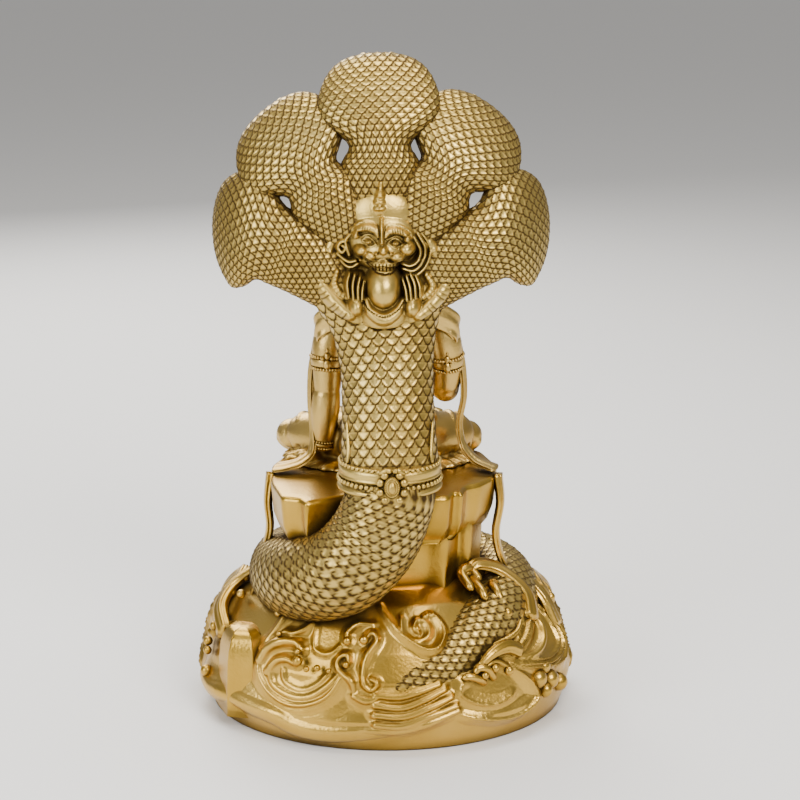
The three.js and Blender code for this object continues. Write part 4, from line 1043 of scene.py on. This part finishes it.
fingers = {
    # points from knuckle to tip, half width at each
    "left": ([[[33.2, -9.6, 94.6], [36.2, -12.6, 93.6], [38.8, -15.4, 92.8]],
              [[31.4, -11.4, 94.8], [33.8, -14.8, 93.8], [35.8, -17.8, 92.9]],
              [[29.4, -12.4, 94.8], [31.2, -16, 93.8], [32.4, -19, 92.9]],
              [[34.4, -7, 94.4], [37.6, -9, 93.4], [40, -11, 92.7]],
              [[27, -8.6, 95], [25.8, -12.2, 94], [25.8, -15, 93.2]]], 1.55),
    "right": ([[[-10.4, -28.6, 141], [-11.2, -30, 145.6], [-11.4, -29.6, 149.6]],
               [[-8.2, -29, 141.6], [-8.4, -30.6, 146.8], [-8.4, -30.4, 151]],
               [[-6.2, -29.2, 141.2], [-5.8, -30.8, 146], [-5.6, -30.6, 150]],
               [[-12.2, -27.8, 139.8], [-13.8, -29, 143.4], [-14.4, -28.6, 146.8]],
               [[-5.4, -28.6, 136.4], [-3.2, -30.6, 139.6], [-2.6, -31.2, 143]]], 1.45),
}
# Folds of the robe over each limb, as pairs of place along it and angle round it.
robeFolds = {
    "shinLeft": [[[0.06, 70], [0.14, 120], [0.2, 170], [0.2, 230]],
                 [[0.16, 60], [0.27, 110], [0.35, 165], [0.34, 230]],
                 [[0.3, 50], [0.42, 100], [0.5, 160], [0.48, 225]],
                 [[0.44, 50], [0.56, 100], [0.64, 160], [0.62, 220]],
                 [[0.6, 50], [0.7, 100], [0.77, 160], [0.75, 215]]],
    "shinRight": [[[0.08, 110], [0.16, 60], [0.22, 10], [0.2, -50]],
                  [[0.24, 115], [0.34, 65], [0.4, 10], [0.38, -50]],
                  [[0.42, 110], [0.52, 60], [0.58, 5], [0.55, -50]],
                  [[0.6, 100], [0.7, 50], [0.76, 0], [0.73, -50]]],
    "thighLeft": [[[0.16, 120], [0.3, 70], [0.4, 10], [0.46, -40]],
                  [[0.34, 125], [0.46, 75], [0.56, 15], [0.6, -40]],
                  [[0.54, 130], [0.64, 80], [0.72, 20], [0.74, -40]],
                  [[0.72, 130], [0.8, 80], [0.86, 20], [0.88, -40]]],
    "thighRight": [[[0.16, 60], [0.3, 110], [0.4, 170], [0.46, 220]],
                   [[0.34, 55], [0.46, 105], [0.56, 165], [0.6, 220]],
                   [[0.54, 50], [0.64, 100], [0.72, 160], [0.74, 220]],
                   [[0.72, 50], [0.8, 100], [0.86, 160], [0.88, 220]]],
}


# One limb as a tube with rounded ends.
def limb(name, rows=60, cols=40, cap=0.08):
    spine, wide, thick, side = limbs[name]
    return tube(spine, wide, thick, side, cols=cols, rows=rows, cap=cap)


# All that is joined into the body's one skin: limbs, shoulders, knees, lap, hands and toes.
def figureClay():
    made = [limb(name) for name in limbs]
    made += [ball((7.6, -14.6, 139), (8.4, 5.2, 6.2), 16, 24),
             ball((-7.6, -14.6, 139), (8.4, 5.2, 6.2), 16, 24),
             ball((0, -13.4, 112), (10.5, 6.4, 8), 16, 24), ball((19, -7, 147.4), (5.6, 5.8, 5.4), 14, 20),
             ball((-19, -7, 147.4), (5.6, 5.8, 5.4), 14, 20), ball((0, 0, 101), (19, 12, 10), 18, 28),
             ball((37.6, -26.6, 98), (6.6, 6.8, 6.2), 14, 20),
             ball((-31.6, -26.4, 97.6), (6.4, 6.6, 6), 14, 20),
             ball((3, -18, 91.4), (38, 23.5, 4.2), 16, 60), ball((4, -24, 97), (26, 14, 5.5), 16, 40),
             ball((23, -4.2, 122), (5.2, 5.5, 5), 12, 18),
             ball((-22.6, -9.6, 121.4), (5.4, 5.6, 5.4), 12, 18),
             ball((30.4, -8.4, 94.8), (5, 5, 2.4), 12, 18),
             ball((-8.6, -28.2, 137.6), (3.8, 2.3, 4.6), 14, 18)]
    for hand, half in fingers.values():
        made += [tube(way, [half, half, half * 0.72], cols=14, rows=20, cap=0.18) for way in hand]
    for k in range(5):
        made.append(tube([[-20.4, -29.6 - 1.5 * k, 104.2 - 0.2 * k],
                          [-24.2 + 0.5 * k, -28.2 - 1.6 * k, 104 - 0.2 * k]],
                         [1.25 - 0.08 * k, 0.95 - 0.06 * k], cols=12, rows=12, cap=0.3))
        made.append(tube([[25, -31.8 - 1.4 * k, 94.2], [29.4 - 0.6 * k, -31 - 1.5 * k, 93.9]],
                         [1.2 - 0.08 * k, 0.9 - 0.05 * k], cols=12, rows=12, cap=0.3))
    return made


bodyValues = {"voxel": 0.68, "smoothRounds": 3, "poolPleats": 34, "pleatRise": 0.55, "overSeat": 0.32}


# The body is one skin; its folds, belt line and navel are then lifted or sunk along the skin's
# outward way by strands drawn on the limbs.
def body():
    skin = clay(figureClay(), bodyValues["voxel"], bodyValues["smoothRounds"])
    points = skin["corners"]
    lift = np.zeros(len(points))
    away = lambda p: np.broadcast_to([0.0, -1.0, 0.0], p.shape)
    for name, ways in robeFolds.items():
        for way in ways:
            raiseStrand(points, lift, onTube(limbs[name], way), [0.7, 1.5, 1.7, 0.9], [0.3, 0.9, 1.0, 0.4],
                        away)
    turns = np.linspace(0, 2 * np.pi, 90)
    for height, wide, rise in ((109.4, 1.2, 0.8), (106.9, 1.0, 0.6)):
        curve = tubeGrid(*limbs["torso"], turns, np.array([(height - 103) / 14 / 6 + 1 / 6]))[0]
        raiseStrand(points, lift, curve, wide, rise, away)
    # Pleats that fan out over the cloth pooled on the seat, about its middle.
    dx, dy = points[:, 0] - 3, points[:, 1] + 18
    around = np.arctan2(dy / 23.5, dx / 38)
    out = np.hypot(dx / 38, dy / 23.5)
    pool = np.clip((out - 0.72) / 0.18, 0, 1) * np.clip((97.4 - points[:, 2]) / 1.5, 0, 1)
    pleats = bodyValues["pleatRise"] * np.cos(bodyValues["poolPleats"] * around + 5 * out)
    lift += pool * (pleats + 0.25 * np.cos(13 * around))
    # Pleats of the robe behind the hips.
    behind = np.clip((points[:, 1] - 2) / 4, 0, 1) * np.clip((110 - points[:, 2]) / 3, 0, 1)
    lift += behind * 0.5 * np.cos(points[:, 0] * 1.9 + 0.06 * (points[:, 2] - 95) * np.sign(points[:, 0]))
    # Navel, and the line down the back.
    navel = np.hypot(points[:, 0], points[:, 2] - 113.6) / 1.3
    lift -= 0.9 * np.exp(-navel ** 2) * (points[:, 1] < -10)
    alongBack = np.clip((points[:, 2] - 108) / 6, 0, 1) * np.clip((150 - points[:, 2]) / 6, 0, 1)
    lift -= 0.5 * np.exp(-(points[:, 0] / 1.4) ** 2) * (points[:, 1] > -2) * alongBack
    skin["corners"] = points + lift[:, None] * shellNormals(skin)
    skin["corners"][:, 2] = np.maximum(skin["corners"][:, 2], seat["top"] + bodyValues["overSeat"])
    return skin


bodySkin = body()
bodyTree = BVHTree.FromPolygons(bodySkin["corners"].tolist(), bodySkin["quads"].tolist())
piece("figureBody", [bodySkin], figureBrass, "seated_figure")
print("body made")


# The point on the body's skin that a line from in front meets first, or None beside the body.
def onBody(x, z):
    hit = bodyTree.ray_cast(Vector((x, -60, z)), Vector((0, 1, 0)))[0]
    return np.array(hit, float) if hit else None


# Beads laid on the skin at points of x and z, leaving out those beside the body.
def beadsOn(points, radius):
    places = [onBody(x, z) for x, z in points]
    return [ball(at - [0, 0.3, 0], radius, 5, 8) for at in places if at is not None]


# The head: at height z and angle a, 0 in front, x is w(z)*sin(a) and y is d(z)*cos(a) forwards, with
# other depths in front and behind, and the face's features are domes and strands over x and z.
headValues = {
    "y": -11.0,
    # height, half width, depth in front, depth behind
    "rings": [(155, 4.6, 4.4, 4.6), (159, 5.2, 6.0, 5.2), (160.6, 5.6, 8.8, 5.6), (162, 6.4, 10.2, 6.6),
              (164, 7.5, 10.6, 8.2), (166.5, 8.6, 10.7, 9.6), (169.5, 9.1, 10.6, 10.5),
              (172.5, 9.3, 10.4, 11),
              (175.5, 9.3, 10.4, 11), (178.5, 9.0, 10, 10.8), (181.5, 8.0, 8.8, 9.8), (184, 5.8, 6.4, 7.4),
              (185.6, 2.6, 2.9, 3.4)],
    "hairline": [(0, 179.4), (30, 179.2), (55, 177.4), (75, 173.6), (95, 169.5), (120, 163.6), (180, 160.5)],
}


# The head's grid: rings over height and angle, with the features lifted over x and z in front and
# fluted hair behind the hairline.
def head():
    v = headValues
    front = np.linspace(-80, 80, 108, endpoint=False)
    back = np.linspace(80, 280, 62, endpoint=False)
    a = np.radians(np.concatenate([front, back]))
    rings = np.array(v["rings"], float)
    places = evenPlaces(rings[:, [0, 2]], 112)[0]
    z, w, f, b = smoothThrough(rings, places).T[:, :, None]
    depth = np.where(np.cos(a) > 0, f, b)
    x = w * np.sin(a)
    y = v["y"] - depth * np.cos(a)
    grid = np.stack([x + 0 * a, y, z + 0 * a], -1)
    flat = np.stack([grid[..., 0], 0 * x, grid[..., 2]], -1).reshape(-1, 3)
    inFront = (np.cos(a) > 0.1)[None, :] & (z > 0)
    away = lambda p: np.array([0.0, -1.0, 0.0])
    lift, fine, cut = (np.zeros(len(flat)) for _ in range(3))

    def bump(cx, cz, rx, rz, rise):
        lift[:] += rise * np.exp(-((flat[:, 0] - cx) / rx) ** 2 - ((flat[:, 2] - cz) / rz) ** 2)

    def dome(cx, cz, rx, rz, rise):
        inside = np.clip(1 - ((flat[:, 0] - cx) / rx) ** 2 - ((flat[:, 2] - cz) / rz) ** 2, 0, 1)
        fine[:] = np.maximum(fine, rise * np.sqrt(inside))

    def line(way, wide, rise, into):
        curve = smoothThrough(way, np.linspace(0, 1, 40))
        raiseStrand(flat, into, np.stack([curve[:, 0], 0 * curve[:, 0], curve[:, 1]], 1), wide, rise, away)

    for side in (-1, 1):
        bump(side * 3.8, 173.6, 2.3, 1.5, -1.15)
        bump(side * 5.3, 169.2, 2.6, 2.4, 0.55)
        dome(side * 3.8, 172.9, 2.1, 1.25, 1.15)
        line([[side * 1.0, 174.9], [side * 3.9, 176.5], [side * 7.2, 174.8]], 0.5, 0.45, fine)
        line([[side * 1.6, 172.7], [side * 3.8, 173.5], [side * 6.0, 172.9]], 0.4, 1.35, fine)
        line([[side * 1.8, 172.5], [side * 3.8, 172.3], [side * 5.9, 172.7]], 0.22, 0.45, cut)
        line([[side * 2.0, 172.3], [side * 3.8, 171.7], [side * 5.7, 172.4]], 0.3, 1.0, fine)
        dome(side * 1.3, 168.5, 1.0, 0.95, 1.7)
        dome(side * 0.95, 166.2, 1.5, 0.62, 1.0)
        bump(side * 3.2, 165.6, 0.6, 0.6, -0.35)
        bump(side * 0.8, 167.7, 0.4, 0.35, -0.5)
    line([[0, 175.4], [0, 172.4], [0, 168.9]], [1.0, 1.25, 1.5], [0.9, 1.8, 3.0], fine)
    dome(0, 168.8, 1.45, 1.2, 3.1)
    dome(0, 164.9, 1.9, 0.75, 1.15)
    line([[-3.0, 165.8], [-1.2, 165.7], [0, 165.45], [1.2, 165.7], [3.0, 165.8]], 0.24, 0.55, cut)
    dome(0, 162.3, 2.6, 1.7, 0.9)
    dome(0, 177.2, 0.65, 0.65, 0.6)
    bump(0, 164, 1.6, 0.5, -0.4)
    lift = (lift + fine - cut).reshape(inFront.shape) * inFront
    degrees = np.abs((np.degrees(a) + 180) % 360 - 180)
    hairline = np.interp(degrees, *np.array(v["hairline"]).T)
    hair = np.clip((z - hairline) / 0.8, 0, 1)
    ridge = 0.34 * np.cos(30 * a + 0.18 * (z - 170) * np.sign(np.sin(a))) + 0.9
    lift = lift * (1 - hair) + hair * ridge * np.clip((186.4 - z) / 3, 0, 1)
    # Dark mark in the face's cut lines and between the ridges of the hair: patina in the hollows plus painted
    # shade.
    groove = np.clip(cut.reshape(inFront.shape) * 1.6, 0,
                     1) * inFront * (1 - hair) + hair * np.clip(0.5 - ridge / 1.8, 0, 1)
    return shell(grid + lift[..., None] * gridNormals(grid) * np.sign(signedVolume(shell(grid))),
                 groove=groove)


# An ear: a flat ellipsoid in a rim that curls down to a long lobe with its drop.
def ear(side):
    x = side * 9.4
    rim = [[x, -12.4, 171.6], [x + side * 1.1, -12.6, 174.2], [x + side * 1.5, -10.4, 175.6],
           [x + side * 1.6, -8.6, 173.6],
           [x + side * 1.1, -9, 170], [x + side * 0.7, -10.2, 166.6], [x + side * 0.5, -11, 163.6],
           [x + side * 0.5, -12, 165.4],
           [x + side * 0.2, -11.8, 169]]
    return [ball((x + side * 0.2, -10.8, 170.4), (1.1, 2.4, 4.8), 14, 16),
            tube(rim, 0.62 * np.ones(9), cols=10, rows=60, cap=0.04),
            ball((x + side * 0.7, -11.2, 162), (1.5, 1.5, 1.5), 9, 12),
            ball((x + side * 0.7, -11.2, 159.9), (0.9, 0.9, 0.9), 7, 9),
            tube([[x + side * 0.6, -11.2, 160], [x + side * 0.6, -11.2, 157.2]], [0.9, 0.25], cols=10,
                 rows=10)]


# A leaf-shaped plate of the crown: thick in the middle, its edge a pointed arch.
def crownLeaf(angle, height, wide, low=178.8):

    # The height and half width of the leaf's edge at a turn u round it.
    def edgeAt(u):
        up = 0.5 - 0.5 * np.cos(u)
        return height * up ** 0.8, wide * np.sin(u) * (1 - 0.45 * up ** 2)

    out = np.array([math.sin(angle), -math.cos(angle), 0])
    along = np.array([math.cos(angle), math.sin(angle), 0])
    at = np.array([0, -10.4, low]) + out * [10.4, 11.4, 0]
    middle = 0.42 * height
    rise, half = edgeAt(np.linspace(0, 2 * np.pi, 30, endpoint=False))
    rings = []
    for share, deep in ((0.25, 0.7), (0.7, 0.75), (0.95, 0.55), (1.0, 0.0), (0.95, -0.5), (0.6, -0.6)):
        flat = np.outer(half * share, along) + np.outer(middle + (rise - middle) * share, [0, 0, 1])
        rings.append(at + flat + (deep + 0.13 * (rise * share)[:, None]) * out)
    face = at + out * 0.9
    made = [shell(np.array(rings)), ball(face + [0, 0, 0.34 * height], (1.15, 1.15, 1.4), 8, 10),
            ball(face + [0, 0, 0.68 * height], (0.7, 0.7, 0.9), 6, 8)]
    inset = 0.82
    for rise, half in zip(*edgeAt(np.linspace(0.6, 2 * np.pi - 0.6, 13))):
        up = middle + (rise - middle) * inset
        made.append(ball(at + along * half * inset + [0, 0, up] + out * (0.75 + 0.1 * rise), 0.4, 4, 6))
    return made


# The crown: a band with beads, five leaves, and the fluted knot of hair with its finial.
def crown():
    a = np.linspace(0, 2 * np.pi, 72, endpoint=False)
    band = [(178.0, -1.2), (177.9, 0.2), (178.4, 0.7), (179.2, 0.5), (180, 0.9), (180.9, 0.7),
            (181.2, 0.2), (181.2, -1.4)]
    made = [shell(np.array([np.stack([(9.9 + out) * np.sin(a), -10.6 - (10.9 + out) * np.cos(a),
                                      0 * a + height], -1)
                            for height, out in band]))]
    made += [ball((10.5 * math.sin(b), -10.6 - 11.5 * math.cos(b), 179.3), 0.62, 5, 7)
             for b in np.linspace(0, 2 * np.pi, 44)[:-1]]
    for angle, height, wide in ((0, 10.5, 4.2), (-0.86, 8.6, 3.6), (0.86, 8.6, 3.6), (-1.62, 6.6, 3.0),
                                (1.62, 6.6, 3.0)):
        made += crownLeaf(angle, height, wide)
    knot = [[0, -9.6, 182.6], [0, -9.2, 187], [0, -9, 192], [0, -9, 197], [0, -9, 201], [0, -9, 203]]
    made += [tube(knot, [6.6, 5.2, 6.2, 5.6, 3.4, 1.0], flutes=14, depth=0.07, cols=84, rows=44, cap=0.05)]
    made += [ball((5.3 * math.sin(b), -9.2 + 5.3 * math.cos(b), 187), 0.72, 5, 7)
             for b in np.linspace(0, 2 * np.pi, 25)[:-1]]
    made += [tube([[0, -9, 200.6], [0, -9, 202.4], [0, -9, 204.4], [0, -9, 206.6]], [2.0, 1.5, 1.6, 0.3],
                  cols=16, rows=20, cap=0.1)]
    return made


piece("figureHead", [head()] + ear(-1) + ear(1), figureBrass, "seated_figure")
piece("crown", crown(), figureBrass, "seated_figure")
print("head made")


# A ring of beads round a limb, a little way outside it.
def ringRound(name, place, extra, count, radius):
    spine, wide, thick, side = limbs[name]
    wide, thick = (np.asarray(k, float) + extra for k in (wide, thick))
    turns = np.linspace(0, 2 * np.pi, count, endpoint=False)
    row = tubeGrid(spine, wide, thick, side, turns, np.array([place]))[0]
    return [ball(p, radius, 5, 8) for p in row]


# A band round a limb: a short tube a little wider than it.
def bandRound(name, low, high, extra):
    spine, wide, thick, side = limbs[name]
    wide, thick = (np.asarray(k, float) for k in (wide, thick))
    places = np.array([low, low, low + 0.2 * (high - low), (low + high) / 2, high - 0.2 * (high - low),
                       high, high])
    outs = [-0.8, 0.5 * extra, extra, 0.8 * extra, extra, 0.5 * extra, -0.8]
    turns = np.linspace(0, 2 * np.pi, 48, endpoint=False)
    return shell(np.array([tubeGrid(spine, wide + out, thick + out, side, turns, np.array([place]))[0]
                           for place, out in zip(places, outs)]))


# Armlets, bracelets, anklets, two necklaces and the belt's clasp.
def jewels():
    made = []
    for name in ("upperArmLeft", "upperArmRight"):
        for place in (0.5, 0.64):
            made += ringRound(name, place, 0.35, 34, 0.68)
        made.append(bandRound(name, 0.52, 0.62, 0.5))
        spine, wide, thick, side = limbs[name]
        for angle in (0, 180):
            at = tubeGrid(spine, np.add(wide, 0.8), np.add(thick, 0.8), side, np.radians([angle]),
                          np.array([0.57]))[0, 0]
            made += [ball(at, (1.5, 0.9, 1.9), 9, 12), ball(at + [0, 0, 3.2], (1.1, 0.8, 1.3), 8, 10),
                     ball(at + [0, 0, 5.4], (0.6, 0.6, 0.9), 6, 8), ball(at + [1.7, 0, 2.2], 0.7, 5, 8),
                     ball(at + [-1.7, 0, 2.2], 0.7, 5, 8)]
    for name, place in (("forearmLeft", 0.88), ("forearmRight", 0.86)):
        made += ringRound(name, place, 0.3, 24, 0.62) + [bandRound(name, place - 0.1, place - 0.03, 0.5)]
        made += ringRound(name, place - 0.13, 0.3, 24, 0.5)
    for name, place in (("shinLeft", 0.97), ("shinRight", 0.97)):
        made += ringRound(name, place, 0.3, 26, 0.7)
    # Two necklaces: their beads lie where lines from the front meet the chest.
    for low, wide, count, radius in ((148.6, 8.6, 27, 0.85), (139.5, 13, 45, 0.7)):
        made += beadsOn([(wide * k, low + (154.6 - low) * abs(k) ** 2.4)
                         for k in np.linspace(-1, 1, count)], radius)
    at = onBody(0, 146.2)
    made += [ball(at + [0, -0.5, 0], (2.2, 1.1, 2.2), 10, 14), ball(at + [0, -1.4, 0], 0.95, 7, 9),
             ball(at + [0, -0.5, -3.4], (1.1, 0.9, 1.5), 8, 10)]
    at = onBody(0, 137.6)
    made += [ball(at + [0, -0.4, 0], (2.6, 1.1, 2.6), 10, 14), ball(at + [0, -1.4, 0], 1.1, 7, 9),
             ball(at + [0, -0.4, -4], (1.2, 0.9, 1.8), 8, 10)]
    made += [ball(at + [3.4 * math.sin(b), -0.5, 3.4 * math.cos(b)], 0.6, 5, 8)
             for b in np.linspace(0, 2 * np.pi, 15)[:-1]]
    # The belt's clasp and its beads in front.
    at = onBody(0, 108.6)
    made += [ball(at + [0, -0.4, 0], (3.0, 1.2, 2.4), 10, 16),
             ball(at + [0, -1.3, 0], (1.4, 1.0, 1.2), 7, 10)]
    made += beadsOn([(15.5 * k, 108.2 - 0.4 * k * k) for k in np.linspace(-1, 1, 28) if abs(k) > 0.18], 0.62)
    return made


piece("figureJewels", jewels(), figureBrass, "seated_figure")
print("jewels made")


# The shawl behind the neck, its loops by the arms and its ends that run over the seat, as fluted bands;
# locks of hair fall over the shoulders.
def scarf():
    band = dict(flutes=6, depth=0.12, cols=44)
    shawl = [[26.6, -6, 141], [24.4, -1, 149], [14, 2.6, 154.4], [0, 3.8, 156], [-14, 2.6, 154.4],
             [-24.4, -1, 149],
             [-26.6, -6, 141]]
    made = [tube(shawl, [3.4, 4.4, 5, 5, 5, 4.4, 3.4], [1.5, 1.6, 1.7, 1.7, 1.7, 1.6, 1.5], (0, 0, 1),
                 rows=90, cap=0.03, **band)]
    right = [[-27, -6, 140], [-29, -7, 130], [-29.6, -6.6, 119], [-28, -5.6, 109], [-29.4, -4.4, 100],
             [-34, -1, 95],
             [-39, 1.6, 93.4], [-42.6, 3, 92.6]]
    made.append(tube(right, [2.4, 2.2, 2.0, 2.0, 2.4, 3.2, 3.8, 4.0],
                     [1.4, 1.3, 1.2, 1.2, 1.2, 1.2, 1.0, 0.9], (0.4, 1, 0),
                     rows=90, cap=0.03, **band))
    left = [[27, -6, 140], [29, -5.6, 129], [29.4, -4.6, 117], [28.6, -3.4, 106], [29, -0.6, 98.6],
            [33, 2, 95.2],
            [38.6, 2.6, 93.6], [44, 1.4, 92.6]]
    made.append(tube(left, [2.2, 2.0, 1.9, 1.9, 2.4, 3.4, 4.2, 4.4],
                     [1.4, 1.3, 1.2, 1.2, 1.3, 1.3, 1.0, 0.9], (-0.4, 1, 0),
                     rows=90, cap=0.03, **band))
    for side in (-1, 1):
        for k in range(3):
            lock = [[side * (8.2 - 0.8 * k), -5 + 1.4 * k, 164], [side * (11.6 - k), -3.4 + 1.2 * k, 158.4],
                    [side * (15.6 - 1.2 * k), -4 + k, 153.6],
                    [side * (19.2 - 1.6 * k), -6.4, 150.8 - 0.4 * k],
                    [side * (20.4 - 2.6 * k), -11.6 + 0.6 * k, 146.4]]
            made.append(tube(lock, [1.5, 1.4, 1.4, 1.3, 0.5], flutes=5, depth=0.12, cols=20, rows=44,
                             cap=0.05))
    return made


piece("scarf", scarf(), figureBrass, "seated_figure")
print("scarf made")


# Floor, light and camera. The camera stands behind the figure and looks along -Y, as the photograph's.
studio = {
    "floor": (0.74, 0.73, 0.71), "sky": (0.5, 0.52, 0.56), "zenith": (1.0, 0.98, 0.95), "skyStrength": 0.55,
    # Camera: focal length and sensor in mm, sideways shift, place in metres, degrees down.
    "lens": 85.44, "sensor": 36, "shift": 13 / 800, "place": (0, 0.7, 0.31), "down": 15.2536,
    # Soft boxes, aimed at the figure's middle: place, width, height, watts, colour.
    "middle": (0, 0, 0.12),
    "boxes": {
        "keyLight": ((-0.45, 0.75, 0.75), 0.5, 0.5, 13, (1, 0.97, 0.93)),
        "fillLight": ((0.65, 0.6, 0.45), 0.5, 0.6, 7, (0.95, 0.97, 1)),
        "topLight": ((0.0, -0.1, 0.95), 0.7, 0.5, 9, (1, 0.98, 0.95)),
        "frontLight": ((0.3, -0.8, 0.6), 0.6, 0.6, 9, (1, 0.98, 0.95)),
    },
}


# A plain pale disc, 0.2 mm under the plinth.
def floor():
    made = bpy.data.materials.new("paleFloor")
    made.use_nodes = True
    shader = made.node_tree.nodes["Principled BSDF"]
    shader.inputs["Base Color"].default_value = (*studio["floor"], 1)
    shader.inputs["Roughness"].default_value = 0.7
    bpy.ops.mesh.primitive_circle_add(vertices=96, radius=6, fill_type="NGON", location=(0, 0, -0.0002))
    disc = bpy.context.object
    disc.name = "floor"
    disc.data.materials.append(made)


# An area lamp that is turned towards its target.
def softbox(name, place, target, width, height, watts, colour):
    lamp = bpy.data.lights.new(name, "AREA")
    lamp.shape, lamp.size, lamp.size_y = "RECTANGLE", width, height
    lamp.energy, lamp.color = watts, colour
    made = bpy.data.objects.new(name, lamp)
    made.location = place
    made.rotation_euler = (Vector(target) - Vector(place)).to_track_quat("-Z", "Y").to_euler()
    bpy.context.collection.objects.link(made)


# Soft light from all round, a little brighter overhead.
def world():
    sky = bpy.data.worlds.new("studio")
    sky.use_nodes = True
    bpy.context.scene.world = sky
    tree = sky.node_tree
    place = tree.nodes.new("ShaderNodeTexCoord")
    parts = tree.nodes.new("ShaderNodeSeparateXYZ")
    ramp = tree.nodes.new("ShaderNodeValToRGB")
    ramp.color_ramp.elements[0].position = 0.0
    ramp.color_ramp.elements[0].color = (*studio["sky"], 1)
    ramp.color_ramp.elements[1].position = 0.9
    ramp.color_ramp.elements[1].color = (*studio["zenith"], 1)
    tree.links.new(place.outputs["Generated"], parts.inputs["Vector"])
    tree.links.new(parts.outputs["Z"], ramp.inputs["Fac"])
    tree.links.new(ramp.outputs["Color"], tree.nodes["Background"].inputs["Color"])
    tree.nodes["Background"].inputs["Strength"].default_value = studio["skyStrength"]


# The camera looks along -Y and down, at the photograph's angle.
def camera():
    lens = bpy.data.cameras.new("camera")
    lens.lens, lens.sensor_width, lens.shift_x = studio["lens"], studio["sensor"], studio["shift"]
    lens.clip_start, lens.clip_end = 0.02, 30
    made = bpy.data.objects.new("camera", lens)
    made.location = studio["place"]
    made.rotation_euler = (math.radians(90 - studio["down"]), 0, math.pi)
    bpy.context.collection.objects.link(made)
    bpy.context.scene.camera = made


floor()
world()
camera()
for name, (place, width, height, watts, colour) in studio["boxes"].items():
    softbox(name, place, studio["middle"], width, height, watts, colour)
print("studio made")
